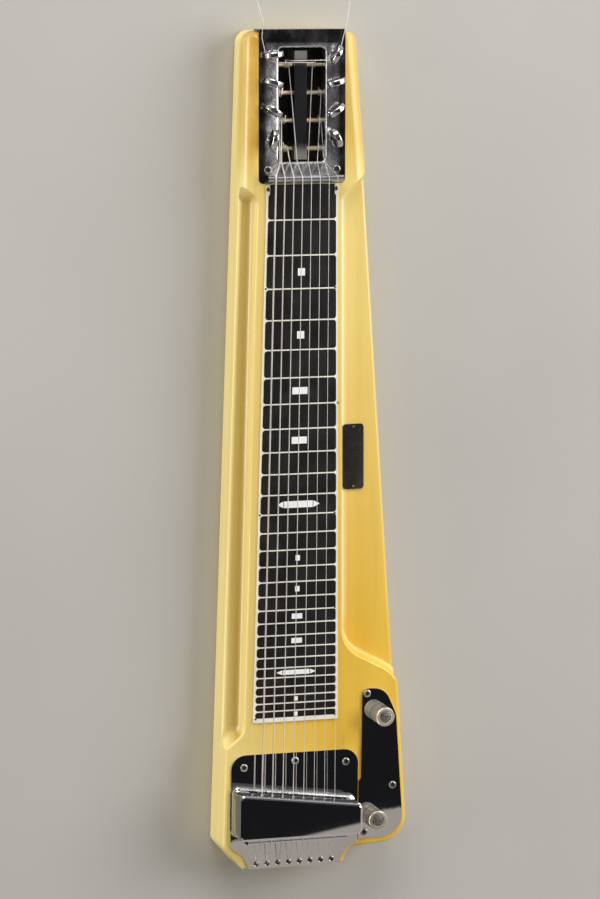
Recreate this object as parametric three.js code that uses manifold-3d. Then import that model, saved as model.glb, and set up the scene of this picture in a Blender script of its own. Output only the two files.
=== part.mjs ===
// Eight-string lap steel guitar lying on its back.
// Millimetres. The back lies on z = 0, +Y points to the head, +X to the control side,
// and the origin is under the middle of the strings, half way between nut and bridge.
import * as THREE from "three";
import { mergeVertices } from "three/addons/utils/BufferGeometryUtils.js";
import Module from "manifold-3d";

const wasm = await Module();
wasm.setup();

// Scale and strings, from the low string on the left to the high one on the right
const scaleLength = 571.5;
const nutSpacing = 7.88;
const bridgeSpacing = 9.63;
const anchorSpacing = 9.8;
const stringDiameters = [1.34, 1.1, 0.9, 0.74, 0.6, 0.48, 0.42, 0.36];
const stringClearance = 0.3;
const anchorReach = 21.4;
const anchorBoreRadius = 1.8;
const anchorDepth = 9;

// Body
const bodyThickness = 41.3;
const headReach = 126.6;
const headLeft = 49;
const headRight = 50.4;
const tailLeft = 64.1;
const tailRight = 105.3;
const tailHalfWidth = 45.7;
const waistHalfWidth = 50.3;
const rightShoulderReach = 9;
const leftShoulderReach = 6;
const waistReach = 12.9;
const tailReach = 26.6;
const headCornerRadius = 11;
const rightShoulderRadius = 23;
const leftShoulderRadius = 9;
const waistRadius = 9;
const tailCornerRadius = 3.8;
const edgeRadius = 3;
const headEdgeRadius = 6.5;
const headTilt = THREE.MathUtils.degToRad(2.04);

// Steps cut down along both sides of the fretboard
const stepDepth = 13.2;
const stepHeadReach = 14.7;
const rightFootRadius = 5.4;
const leftFootRadius = 9;
const stepRimRadius = 2.6;
const stepRimCuts = 2;
const stepOverrun = 50;
const stepEdgeRadius = 3;
const rightStepMargin = 4.9;
const leftStepMargin = 7.6;
const rightStepHeadRadius = 7;
const leftStepHeadRadius = 10.5;
const stepRun = 1.5;
const rightStepReach = 166.5;
const rightStepEnd = scaleLength - rightStepReach;
const rightStepDrop = 27.6;
const rightStepInnerRadius = 30;
const rightStepOuterRadius = 35;
const leftStepReach = 94.9;
const leftStepEnd = scaleLength - leftStepReach;
const leftStepDrop = 14.5;
const leftStepInnerRadius = 12;
const leftStepOuterRadius = 16;

// Fretboard
const boardHalfWidth = 31.45;
const boardFlare = 0.0148;
const fretCount = 29;
const octave = 12;
const boardEndMargin = 3.2;
const boardThickness = 1.2;
const boardStart = 1.8;
const boardLength =
  scaleLength * (1 - 2 ** (-fretCount / octave)) + boardEndMargin - boardStart;
const boardTabWidth = 3.4;
const boardTabLength = 7;
const boardCornerRadius = 1;
const seatGap = 0.2;

// Tuner pan, a stamped plate let into the tilted head
const panHalfWidth = 38.2;
const panThickness = 1.2;
const panProud = 0.3;
const panNutReach = 1.1;
const panCornerRadius = 4;
const panFlangeHeight = 16;
const windowHalfWidth = 22.8;
const windowStart = 15;
const windowEndMargin = 11.4;
const windowEnd = headReach - windowEndMargin;
const windowRadius = 5.8;
const lipWidth = 1;
const lipDepth = 8.2;
const lipRadius = 1.9;
const lipCuts = 3;
const fitGap = 0.3;
const pocketHalfWidth = 35.4;
const pocketEndMargin = 2.6;
const pocketDepth = 22.4;

// Worm tuners, four on each side
const tunersPerSide = 4;
const firstPostMargin = 12.9;
const firstPost = windowStart + firstPostMargin;
const tunerPitchShare = 0.2355;
const tunerPitch = (windowEnd - windowStart) * tunerPitchShare;
const postDepth = 10.6;
const postRadius = 2.1;
const postWaistRadius = 1.95;
const postPinRadius = 1.2;
const gearTeeth = 14;
const gearPitchRadius = 6.05;
const gearTipRadius = 6.75;
const gearRootRadius = 5.2;
const gearWidth = 2;
const gearBoreRadius = 1.8;
const gearToothRoot = 1.5;
const gearToothTip = 0.7;
const wormOffset = 9;
const wormRootRadius = 1.9;
const wormTipRadius = 3.45;
const wormThreadRoot = 1.35;
const wormThreadTip = 0.5;
const wormTurns = 4;
const wormSteps = 12;
const wormShaftRadius = 1.5;
const gearPlane = 27.7;
const wormPitch = (2 * Math.PI * gearPitchRadius) / gearTeeth;

// Tuner strips, the upright plates that carry the posts and worms
const stripInner = 23.1;
const stripThickness = 0.9;
const stripHeight = 20;
const stripEndMargin = 11;
const earThickness = 1.2;
const earReach = 32.2;
const earHalfLength = 3.6;
const lowerEarDepth = 18.2;
const runningGap = 0.3;

// Centre bar, an upturned channel that holds the inner ends of the posts
const barHalfWidth = 5.55;
const barDepth = 4.5;
const barWall = 1.2;
const barStartMargin = 3.7;
const barStart = windowStart + barStartMargin;
const barEndMargin = 4.7;
const barEnd = windowEnd - barEndMargin;

// Tuner buttons and the angles they stand at
const buttonWidth = 16;
const buttonHeight = 12.6;
const buttonThickness = 5.2;
const buttonEdge = 1.1;
const buttonLift = 2.4;
const leftButtonAngles = [81, -33, -18, 7];
const rightButtonAngles = [-65, 38, 17, 65];

// Nut
const nutHalfWidth = 33.6;
const nutCrest = 3.6;
const nutRadius = 2.9;
const nutHeight = 11.6;
const crestAngles = [90, 70, 52];

// String wraps on the posts: where each string meets its post, as a share of the open post
const contactShares = [0.867, 0.655, 0.315, 0.25, 0.37, 0.855, 0.83, 0.88];
const stringPosts = [2, 1, 0, 3, 3, 2, 1, 0];
const wrapTurns = 2;
const wrapSteps = 16;
const wrapSpacing = 0.6;
const stubLength = 4;
const lipContactLimit = 19.9;
const stringSides = 6;

// Plates on the tail
const plateThickness = 1.2;
const platesTop = bodyThickness + seatGap + plateThickness;
const bridgePlateHalfWidth = 57.8;
const bridgePlateHeadReach = 75.9;
const bridgePlateHeadRadius = 13;
const bridgePlateWaist = 46.2;
const bridgePlateTail = 40.9;
const bridgePlateShoulder = 6;
const bridgePlateSlip = 2;
const bridgePlateWaistReach = 14;
const bridgePlateEnd = 25.9;
const controlPlateInset = 4.3;
const controlPlateInner = 60.7;
const controlPlateStep = 58.6;
const controlPlateStepReach = 48;
const controlPlateHeadReach = 128.7;
const controlPlateHeadWidth = 32.6;
const controlPlateHeadRadius = 24;
const controlPlateShoulderRadius = 18;
const controlPlateTailReach = 5.3;
const controlPlateTailRadius = 24;
const plateCornerRadius = 6;
const smallCornerRadius = 1;

// Pickup housing and cover, skewed at the head side and square at the tail side
const pickupLeft = 57.9;
const pickupRight = 54.3;
const housingHeight = 5.5;
const housingHeadLeft = 49.4;
const housingHeadRight = 34.9;
const housingTail = 4.7;
const housingWall = 3.4;
const housingRadius = 6;
const housingEdge = 1.8;
const housingFootWidth = 1;
const housingFootHeight = 0.8;
const coverTop = 26.5;
const coverHeadLeft = 47.2;
const coverHeadRight = 32.8;
const coverTail = 5.5;
const coverRadius = 5;
const coverEdge = 2.4;
const coverWall = 1.6;
const slotHalfWidth = 44.5;
const slotTop = 12.6;

// Coil and bridge
const coilHalfWidth = 47.5;
const coilHead = 27.6;
const coilTail = 9;
const coilDepth = 12;
const coilHeight = 8.4;
const coilFlange = 1.6;
const coilInset = 2;
const coilHole = 0.6;
const coilCornerRadius = 2;
const bridgeHalfWidth = 45;
const bridgeThickness = 4;
const bridgeHeight = 10.05;

// Controls
const knobRadius = 8.4;
const knobHeight = 15.5;
const knobLift = 1;
const knobEdge = 1.4;
const knobSegments = 32;
const upperKnob = new THREE.Vector2(76.7, 106.4);
const lowerKnob = new THREE.Vector2(71.3, 14.5);
const shaftRadius = 3;
const potRadius = 8;
const potHeight = 9;
const potBushingRadius = 4.4;
const cavityFloor = 8;
const cavityInner = 62.2;
const cavityOuterMargin = 9;
const cavityHeadReach = 119;
const cavityTailReach = 6;
const wireWidth = 8;
const wireDepth = 10;
const jackReach = 66;
const jackHeight = 20.5;
const jackBushingRadius = 5.6;
const jackBoreRadius = 3.4;
const jackFlangeRadius = 8;
const jackFlangeThickness = 1.6;
const jackInnerLength = 13;
const jackSpotDepth = 1.6;
const capacitorRadius = 4;
const capacitorLength = 16;

// Badge, left bare
const badgeWidth = 18.7;
const badgeLength = 57;
const badgeThickness = 1;
const badgeCentreShare = 0.4198;
const badgeCentreReach = scaleLength * badgeCentreShare;
const badgeCentre = 53.7;
const badgeRadius = 3;

// Screws
const screwHeadRadius = 3.3;
const screwHeadHeight = 1.5;
const screwShankRadius = 1.4;
const screwLength = 11;
const bridgeScrews = [
  [-46.4, 65],
  [0, 68.7],
  [46.4, 65],
];
const controlScrews = [
  [65, 124.5],
  [89.8, 41.4],
  [63.9, 0.7],
];
const panScrewReach = 30.7;
const panScrewStart = 10.6;

// Shared cutting values
const overrun = 5;
const weld = 1e-4;

const nutY = scaleLength / 2;
const bridgeY = -scaleLength / 2;
const boardTop = bodyThickness + seatGap + boardThickness;
const stringCount = stringDiameters.length;
const anchorY = bridgeY - anchorReach;
const stepFloor = bodyThickness - stepDepth;

// The tilted head: its own origin is on the wood at the nut line
const head = new THREE.Group();
head.position.set(0, nutY, bodyThickness);
head.rotation.x = -headTilt;
head.updateMatrixWorld(true);

const guitar = new THREE.Group();
guitar.add(head);

const lacquered = finish(0xe0b45c, 0.3, 0);
const chrome = finish(0xc8c9cc, 0.12, 1);
const nickel = finish(0xb9b2a0, 0.3, 1);
const brass = finish(0xb89a62, 0.4, 1);
const steelWire = finish(0xb5b5b5, 0.3, 1);
const blackPaint = finish(0x1d1b18, 0.35, 0);
const darkMetal = finish(0x2a2826, 0.4, 0.6);
const bobbinBlack = finish(0x151515, 0.6, 0);
const tinned = finish(0x9a9a98, 0.45, 1);
const waxedPaper = finish(0xa8743c, 0.5, 0);

function finish(color, roughness, metalness) {
  return new THREE.MeshStandardMaterial({ color, roughness, metalness });
}

function piece(name, geometry, material, parent = guitar) {
  const mesh = new THREE.Mesh(geometry, material);
  mesh.name = name;
  parent.add(mesh);
  return mesh;
}

function welded(geometry) {
  const bare = geometry.index ? geometry.toNonIndexed() : geometry.clone();
  bare.deleteAttribute("normal");
  bare.deleteAttribute("uv");
  return mergeVertices(bare, weld);
}

// A geometry as a manifold-3d solid, with its shared corners joined
function solid(geometry) {
  const closed = geometry.userData.closed ? geometry : welded(geometry);
  return new wasm.Manifold(
    new wasm.Mesh({
      numProp: 3,
      vertProperties: closed.attributes.position.array,
      triVerts: new Uint32Array(closed.index.array),
    }),
  );
}

function geometryOf(manifold) {
  const mesh = manifold.getMesh();
  const geometry = new THREE.BufferGeometry();
  geometry.setAttribute("position", new THREE.BufferAttribute(mesh.vertProperties, 3));
  geometry.setIndex(new THREE.BufferAttribute(mesh.triVerts, 1));
  geometry.computeVertexNormals();
  geometry.userData.closed = true;
  return geometry;
}

function cut(base, ...tools) {
  return geometryOf(tools.reduce((body, tool) => body.subtract(solid(tool)), solid(base)));
}

function join(...geometries) {
  const [first, ...others] = geometries;
  return geometryOf(others.reduce((body, other) => body.add(solid(other)), solid(first)));
}

// A closed outline from corners [x, y, fillet radius], each fillet limited by its two walls
function outline(corners, Kind = THREE.Shape) {
  const shape = new Kind();
  const count = corners.length;
  corners.forEach(([x, y, wanted], i) => {
    const [beforeX, beforeY] = corners[(i + count - 1) % count];
    const [afterX, afterY] = corners[(i + 1) % count];
    const corner = new THREE.Vector2(x, y);
    const back = new THREE.Vector2(beforeX, beforeY).sub(corner);
    const ahead = new THREE.Vector2(afterX, afterY).sub(corner);
    const half = Math.abs(back.angleTo(ahead)) / 2;
    const room = Math.min(back.length(), ahead.length()) / 2;
    const reach = Math.min(wanted / Math.tan(half), room);
    const radius = reach * Math.tan(half);
    if (radius === 0) {
      if (i === 0) shape.moveTo(x, y);
      else shape.lineTo(x, y);
      return;
    }
    const start = corner.clone().addScaledVector(back.clone().normalize(), reach);
    const end = corner.clone().addScaledVector(ahead.clone().normalize(), reach);
    const inward = back.clone().normalize().add(ahead.clone().normalize()).normalize();
    const centre = corner.clone().addScaledVector(inward, radius / Math.sin(half));
    const from = start.clone().sub(centre).angle();
    const to = end.clone().sub(centre).angle();
    const clockwise = back.cross(ahead) > 0;
    if (i === 0) shape.moveTo(start.x, start.y);
    else shape.lineTo(start.x, start.y);
    shape.absarc(centre.x, centre.y, radius, from, to, clockwise);
  });
  shape.closePath();
  return shape;
}

// An outline raised from low to high, with its top and bottom edges rounded
function slab(shape, low, high, { round = 0, roundSteps = 3, arcSteps = 3 } = {}) {
  return new THREE.ExtrudeGeometry(shape, {
    depth: high - low - 2 * round,
    bevelEnabled: round > 0,
    bevelThickness: round,
    bevelSize: round,
    bevelOffset: -round,
    bevelSegments: roundSteps,
    curveSegments: arcSteps,
  }).translate(0, 0, low + round);
}

function block(lowX, highX, lowY, highY, lowZ, highZ) {
  return new THREE.BoxGeometry(highX - lowX, highY - lowY, highZ - lowZ).translate(
    (lowX + highX) / 2,
    (lowY + highY) / 2,
    (lowZ + highZ) / 2,
  );
}

// A round bar standing along z
function rod(radius, low, high, sides = 12) {
  return new THREE.CylinderGeometry(radius, radius, high - low, sides)
    .rotateX(Math.PI / 2)
    .translate(0, 0, (low + high) / 2);
}

// Turns a profile drawn in x and y so that it lies in y and z and runs along x
function alongX(geometry) {
  const turn = new THREE.Matrix4().makeBasis(
    new THREE.Vector3(0, 1, 0),
    new THREE.Vector3(0, 0, 1),
    new THREE.Vector3(1, 0, 0),
  );
  return geometry.applyMatrix4(turn);
}

function tilted(geometry) {
  return geometry.applyMatrix4(head.matrixWorld);
}

function headPoint(x, y, z) {
  return new THREE.Vector3(x, y, z).applyMatrix4(head.matrixWorld);
}

// Half width of the board, and of the raised band around it, at a distance below the nut
function boardEdge(distance) {
  return boardHalfWidth + boardFlare * distance;
}

function bandEdge(side, distance) {
  return boardEdge(distance) + (side > 0 ? rightStepMargin : leftStepMargin);
}

// Where the straight sides of the body lie at a distance below the nut
function sideLine(atHead, atTail, tailDistance, distance) {
  const slope = (atTail - atHead) / (tailDistance + headReach);
  return atHead + slope * (distance + headReach);
}

function leftSide(distance) {
  return sideLine(headLeft, tailLeft, scaleLength + leftShoulderReach, distance);
}

function rightSide(distance) {
  return sideLine(headRight, tailRight, scaleLength + rightShoulderReach, distance);
}

function bodyOutline() {
  return outline([
    [-headLeft, nutY + headReach, headCornerRadius],
    [-tailLeft, bridgeY - leftShoulderReach, leftShoulderRadius],
    [-tailHalfWidth, bridgeY - tailReach, tailCornerRadius],
    [tailHalfWidth, bridgeY - tailReach, tailCornerRadius],
    [waistHalfWidth, bridgeY - waistReach, waistRadius],
    [tailRight, bridgeY - rightShoulderReach, rightShoulderRadius],
    [headRight, nutY + headReach, headCornerRadius],
  ]);
}

// What the tilted, generously rounded head removes from the block
function headWaste() {
  const start = -stepHeadReach - overrun;
  const shape = outline([
    [-headLeft, headReach, headCornerRadius],
    [-leftSide(-start * 2), start * 2, 0],
    [rightSide(-start * 2), start * 2, 0],
    [headRight, headReach, headCornerRadius],
  ]);
  const rounded = tilted(
    slab(shape, -bodyThickness - headEdgeRadius - overrun, 0, {
      round: headEdgeRadius,
      roundSteps: 5,
    }),
  );
  const zone = block(
    -tailRight,
    tailRight,
    nutY + start,
    nutY + headReach + overrun,
    bodyThickness / 2,
    bodyThickness + overrun,
  );
  return cut(zone, rounded);
}

// The outline of one side step, from the band beside the board out past the side of the body
function stepOutline(side, end, drop, innerRadius, outerRadius, sideAt) {
  const far = tailRight + stepOverrun;
  const headRadius = side > 0 ? rightStepHeadRadius : leftStepHeadRadius;
  const headInner = bandEdge(side, stepHeadReach);
  const outer = sideAt(end + drop) + edgeRadius / stepRun;
  const slopeEnd = end + drop * stepRun * stepRun;
  return outline([
    [side * headInner, nutY - stepHeadReach, headRadius],
    [side * bandEdge(side, end), nutY - end, innerRadius],
    [side * outer, nutY - end - drop, outerRadius],
    [side * (outer + (sideAt(slopeEnd) - sideAt(end + drop))), nutY - slopeEnd, 0],
    [side * far, nutY - slopeEnd, 0],
    [side * far, nutY - stepHeadReach + far - headInner, 0],
  ]);
}

// Slanted cuts that each touch the quarter round of an edge, about a hole's outline
function roundings(shape, radius, top, cuts, arcSteps) {
  return Array.from({ length: cuts }, (_, order) => {
    const turn = ((order + 1) / (cuts + 1)) * (Math.PI / 2);
    const width = radius * (1 - Math.tan(Math.PI / 4 - turn / 2));
    const depth = radius * (1 - Math.tan(turn / 2));
    return new THREE.ExtrudeGeometry(shape, {
      depth: stepDepth,
      bevelEnabled: true,
      bevelThickness: depth,
      bevelSize: width,
      bevelSegments: 1,
      curveSegments: arcSteps,
    }).translate(0, 0, top);
  });
}

// Step cutters: a wall with a coved foot and a rounded rim, and the rounded outer edge of the floor
function stepCutters(shape, footRadius) {
  const well = slab(shape, stepFloor, bodyThickness + headEdgeRadius + overrun, {
    round: footRadius,
    roundSteps: 4,
    arcSteps: 4,
  });
  const base = slab(bodyOutline(), 0, stepFloor, { round: stepEdgeRadius });
  const edge = cut(slab(shape, stepFloor - stepEdgeRadius, stepFloor, { arcSteps: 4 }), base);
  return [join(well, edge), ...roundings(shape, stepRimRadius, bodyThickness, stepRimCuts, 4)];
}

// The inner face of the pan's flange, clear of the upright end of the body
const flangeFace =
  (headReach + fitGap) / Math.cos(headTilt) + panFlangeHeight * Math.sin(headTilt);

function panOutline(gap) {
  const end = flangeFace + panThickness / 2;
  return outline([
    [-panHalfWidth - gap, end, 0],
    [-panHalfWidth - gap, -panNutReach - gap, panCornerRadius],
    [panHalfWidth + gap, -panNutReach - gap, panCornerRadius],
    [panHalfWidth + gap, end, 0],
  ]);
}

function rectangle(lowX, highX, lowY, highY, radius, Kind) {
  return outline(
    [
      [lowX, lowY, radius],
      [highX, lowY, radius],
      [highX, highY, radius],
      [lowX, highY, radius],
    ],
    Kind,
  );
}

function controlCavity() {
  const headDistance = scaleLength - cavityHeadReach;
  const outer = rightSide(headDistance) - cavityOuterMargin;
  const shape = outline([
    [cavityInner, bridgeY + cavityHeadReach, plateCornerRadius],
    [cavityInner, bridgeY + cavityTailReach, plateCornerRadius],
    [outer, bridgeY + cavityTailReach, plateCornerRadius],
    [outer, bridgeY + cavityHeadReach, plateCornerRadius],
  ]);
  return slab(shape, cavityFloor, bodyThickness + overrun);
}

function coilWell(margin, low, high) {
  return slab(
    rectangle(
      -coilHalfWidth - margin,
      coilHalfWidth + margin,
      bridgeY + coilTail - margin,
      bridgeY + coilHead + margin,
      coilCornerRadius,
    ),
    low,
    high,
  );
}

function stringX(index, spacing) {
  return (index - (stringCount - 1) / 2) * spacing;
}

function anchorBores(low, high) {
  return stringDiameters.map((_, i) =>
    rod(anchorBoreRadius, low, high, 8).translate(stringX(i, anchorSpacing), anchorY, 0),
  );
}

const bridgeScrewPlaces = bridgeScrews.map(([x, reach]) => [x, bridgeY + reach]);
const controlScrewPlaces = controlScrews.map(([x, reach]) => [x, bridgeY + reach]);
const panScrewPlaces = [-1, 1].map((side) => [side * panScrewReach, panScrewStart]);

function screwBores(places, low, high) {
  return places.map(([x, y]) => rod(screwShankRadius + fitGap, low, high, 8).translate(x, y, 0));
}

function jackPlace() {
  return { y: bridgeY + jackReach, face: rightSide(scaleLength - jackReach) - jackSpotDepth };
}

function makeBody() {
  const blank = slab(bodyOutline(), 0, bodyThickness, { round: edgeRadius });
  const rightStep = stepOutline(
    1,
    rightStepEnd,
    rightStepDrop,
    rightStepInnerRadius,
    rightStepOuterRadius,
    rightSide,
  );
  const leftStep = stepOutline(
    -1,
    leftStepEnd,
    leftStepDrop,
    leftStepInnerRadius,
    leftStepOuterRadius,
    leftSide,
  );
  const panSeat = slab(panOutline(fitGap), panProud - panThickness - fitGap, overrun);
  const pocket = slab(
    rectangle(
      -pocketHalfWidth,
      pocketHalfWidth,
      windowStart - pocketEndMargin,
      windowEnd + pocketEndMargin,
      panCornerRadius,
    ),
    -pocketDepth,
    overrun,
  );
  const jack = jackPlace();
  const jackBore = rod(jackBushingRadius + fitGap, 0, tailRight, 12);
  const jackSpot = rod(jackFlangeRadius + fitGap, 0, tailRight, 16);
  const shankLow = bodyThickness - screwLength;
  return cut(
    blank,
    headWaste(),
    ...stepCutters(rightStep, rightFootRadius),
    ...stepCutters(leftStep, leftFootRadius),
    tilted(panSeat),
    tilted(pocket),
    controlCavity(),
    coilWell(fitGap, boardTop - coilDepth - fitGap, bodyThickness + overrun),
    block(
      coilHalfWidth,
      cavityInner + overrun,
      bridgeY + coilTail + coilInset,
      bridgeY + coilTail + coilInset + wireWidth,
      bodyThickness - wireDepth,
      bodyThickness + overrun,
    ),
    alongX(jackBore).translate(cavityInner + overrun, jack.y, jackHeight),
    alongX(jackSpot).translate(jack.face, jack.y, jackHeight),
    ...anchorBores(boardTop - anchorDepth - overrun, bodyThickness + overrun),
    ...screwBores(bridgeScrewPlaces, shankLow, bodyThickness + overrun),
    ...screwBores(controlScrewPlaces, shankLow, bodyThickness + overrun),
    ...screwBores(panScrewPlaces, -screwLength, overrun).map(tilted),
  );
}

piece("body", makeBody(), lacquered);

// Fretboard: a painted plate with two rounded ears at the nut end
function makeFretboard() {
  const end = boardStart + boardLength;
  const shape = outline([
    [-boardEdge(boardStart), nutY - boardStart - boardTabLength, 0],
    [-boardEdge(end), nutY - end, boardCornerRadius],
    [boardEdge(end), nutY - end, boardCornerRadius],
    [boardEdge(boardStart), nutY - boardStart - boardTabLength, 0],
    [boardEdge(boardStart) + smallCornerRadius, nutY - boardStart, boardTabWidth / 2],
    [boardEdge(boardStart) - boardTabWidth, nutY - boardStart, 0],
    [-boardEdge(boardStart) + boardTabWidth, nutY - boardStart, 0],
    [-boardEdge(boardStart) - smallCornerRadius, nutY - boardStart, boardTabWidth / 2],
  ]);
  return slab(shape, bodyThickness + seatGap, boardTop);
}

piece("fretboard", makeFretboard(), blackPaint);

// Tuner pan: plate, rolled lip round the window, and the flange folded over the head end
function makePan() {
  const top = panProud;
  const bottom = panProud - panThickness;
  const plate = slab(panOutline(0), bottom, top, { arcSteps: 2 });
  const hole = (inset) =>
    rectangle(
      -windowHalfWidth + inset,
      windowHalfWidth - inset,
      windowStart + inset,
      windowEnd - inset,
      windowRadius - inset,
    );
  const lip = slab(hole(lipRadius - lipWidth), top - lipDepth, top - panThickness / 2);
  const window = slab(hole(lipRadius), top - lipDepth - overrun, top + overrun);
  const flange = block(
    -panHalfWidth,
    panHalfWidth,
    flangeFace,
    flangeFace + panThickness,
    top - panFlangeHeight,
    top,
  );
  const shaftBores = postPlaces().flatMap((y) =>
    [gearPlane, -gearPlane].map((x) =>
      rod(wormShaftRadius + runningGap, -overrun, overrun, 10).translate(x, y + wormOffset, 0),
    ),
  );
  return cut(
    join(plate, lip, flange),
    window,
    ...roundings(hole(lipRadius), lipRadius, top, lipCuts, 3),
    ...shaftBores,
    ...screwBores(panScrewPlaces, -overrun, overrun),
  );
}

piece("tuner_pan", makePan(), chrome, head);

function makeCentreBar() {
  const floor = -pocketDepth + fitGap;
  const channel = block(-barHalfWidth, barHalfWidth, barStart, barEnd, floor, panProud - barDepth);
  const hollow = block(
    -barHalfWidth + barWall,
    barHalfWidth - barWall,
    barStart - overrun,
    barEnd + overrun,
    floor - overrun,
    panProud - barDepth - barWall,
  );
  const bores = postPlaces().map((y) =>
    alongX(rod(postPinRadius + runningGap, -barHalfWidth * 2, barHalfWidth * 2, 8)).translate(
      0,
      y,
      -postDepth,
    ),
  );
  return cut(channel, hollow, ...bores);
}

function postPlaces() {
  return Array.from({ length: tunersPerSide }, (_, i) => firstPost + i * tunerPitch);
}

piece("centre_bar", makeCentreBar(), chrome, head);

// A tuner strip with two ears for each worm; the head's +X side is drawn and the other mirrored
function makeStrip(side) {
  const top = panProud - panThickness - fitGap;
  const inner = stripInner;
  const outer = stripInner + stripThickness;
  const places = postPlaces();
  const plate = block(
    inner,
    outer,
    places[0] - stripEndMargin,
    places[tunersPerSide - 1] + wormOffset + stripEndMargin / 2,
    top - stripHeight,
    top,
  );
  const ears = places.flatMap((y) => {
    const low = y + wormOffset - earHalfLength;
    const high = y + wormOffset + earHalfLength;
    const upper = block(inner, earReach, low, high, top - earThickness, top);
    const lower = block(inner, earReach, low, high, -lowerEarDepth - earThickness, -lowerEarDepth);
    return [upper, lower];
  });
  const bores = places.flatMap((y) => [
    alongX(rod(postRadius + runningGap, inner - overrun, outer + overrun / 2, 10)).translate(
      0,
      y,
      -postDepth,
    ),
    rod(wormShaftRadius + runningGap, -pocketDepth, overrun, 8).translate(
      gearPlane,
      y + wormOffset,
      0,
    ),
  ]);
  const strip = cut(join(plate, ...ears), ...bores);
  return side > 0 ? strip : mirrored(strip);
}

function mirrored(geometry) {
  const flipped = geometry.toNonIndexed().scale(-1, 1, 1);
  const place = flipped.getAttribute("position");
  const first = new THREE.Vector3();
  const last = new THREE.Vector3();
  for (let i = 0; i < place.count; i += 3) {
    first.fromBufferAttribute(place, i);
    last.fromBufferAttribute(place, i + 2);
    place.setXYZ(i, last.x, last.y, last.z);
    place.setXYZ(i + 2, first.x, first.y, first.z);
  }
  flipped.computeVertexNormals();
  return flipped;
}

// A string post, turned along x: inner pin, waisted barrel and gear seat
function makePost() {
  const seat = gearBoreRadius - runningGap;
  const innerEnd = barHalfWidth - barWall + runningGap;
  const shoulder = barHalfWidth + runningGap;
  const barrelEnd = gearPlane - gearWidth / 2 - runningGap;
  const taper = postRadius / 2;
  const profile = [
    [0, innerEnd],
    [postPinRadius, innerEnd],
    [postPinRadius, shoulder],
    [postRadius, shoulder],
    [postRadius, shoulder + taper],
    [postWaistRadius, shoulder + 2 * taper],
    [postWaistRadius, stripInner - 2 * taper],
    [postRadius, stripInner - taper],
    [postRadius, barrelEnd],
    [seat, barrelEnd],
    [seat, gearPlane + gearWidth],
    [0, gearPlane + gearWidth],
  ].map(([radius, along]) => new THREE.Vector2(radius, along));
  return new THREE.LatheGeometry(profile, 10).rotateZ(-Math.PI / 2);
}

// The gear on a post's outer end, with a tooth gap facing the worm
function makeGear() {
  const shape = new THREE.Shape();
  const point = (radius, angle) => [radius * Math.cos(angle), radius * Math.sin(angle)];
  for (let tooth = 0; tooth < gearTeeth; tooth++) {
    const middle = ((tooth + 0.5) / gearTeeth) * 2 * Math.PI;
    const rootHalf = gearToothRoot / 2 / gearRootRadius;
    const tipHalf = gearToothTip / 2 / gearTipRadius;
    const corners = [
      point(gearRootRadius, middle - rootHalf),
      point(gearTipRadius, middle - tipHalf),
      point(gearTipRadius, middle + tipHalf),
      point(gearRootRadius, middle + rootHalf),
    ];
    corners.forEach(([y, z], i) => {
      if (tooth === 0 && i === 0) shape.moveTo(y, z);
      else shape.lineTo(y, z);
    });
  }
  shape.closePath();
  const bore = new THREE.Path();
  bore.absarc(0, 0, gearBoreRadius, 0, 2 * Math.PI, true);
  shape.holes.push(bore);
  const blank = slab(shape, gearPlane - gearWidth / 2, gearPlane + gearWidth / 2, { arcSteps: 5 });
  return alongX(blank);
}

// The worm's thread: four rows to a pitch wound round the axis, fading out at both ends
function makeThread() {
  const rowHeights = [-wormThreadRoot / 2, -wormThreadTip / 2, wormThreadTip / 2, wormThreadRoot / 2];
  const rowRadii = [wormRootRadius, wormTipRadius, wormTipRadius, wormRootRadius];
  const rows = rowHeights.length * wormTurns;
  const low = -(wormTurns / 2) * wormPitch - wormPitch / 2;
  const length = wormTurns * wormPitch;
  const facing = -Math.PI / 2;
  const grid = [];
  for (let row = 0; row < rows; row++) {
    const turn = Math.floor(row / rowHeights.length);
    const kind = row % rowHeights.length;
    grid.push([]);
    for (let step = 0; step <= wormSteps; step++) {
      const share = step / wormSteps;
      const rise = (turn + share + 0.5) * wormPitch + rowHeights[kind];
      const fade = THREE.MathUtils.clamp(Math.min(rise, length + wormPitch - rise) / wormPitch, 0, 1);
      const radius = wormRootRadius + (rowRadii[kind] - wormRootRadius) * fade;
      const angle = facing + 2 * Math.PI * share;
      grid[row].push(
        new THREE.Vector3(radius * Math.cos(angle), radius * Math.sin(angle), low + rise),
      );
    }
  }
  const faces = [];
  for (let row = 0; row + 1 < rows; row++) {
    for (let step = 0; step < wormSteps; step++) {
      const a = grid[row][step];
      const b = grid[row][step + 1];
      const c = grid[row + 1][step + 1];
      const d = grid[row + 1][step];
      faces.push(a, b, c, a, c, d);
    }
  }
  const kinds = rowHeights.length;
  const lowerLoop = [...grid[0]];
  for (let row = kinds - 1; row > 0; row--) lowerLoop.push(grid[row][0]);
  const upperLoop = [...grid[rows - 1]];
  for (let row = rows - 2; row > rows - 1 - kinds; row--) upperLoop.push(grid[row][wormSteps]);
  const foot = new THREE.Vector3(0, 0, grid[0][0].z);
  const crown = new THREE.Vector3(0, 0, grid[rows - 1][wormSteps].z);
  lowerLoop.forEach((point, i) => {
    faces.push(foot, lowerLoop[(i + 1) % lowerLoop.length], point);
  });
  upperLoop.forEach((point, i) => {
    faces.push(crown, point, upperLoop[(i + 1) % upperLoop.length]);
  });
  return new THREE.BufferGeometry().setFromPoints(faces);
}

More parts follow.
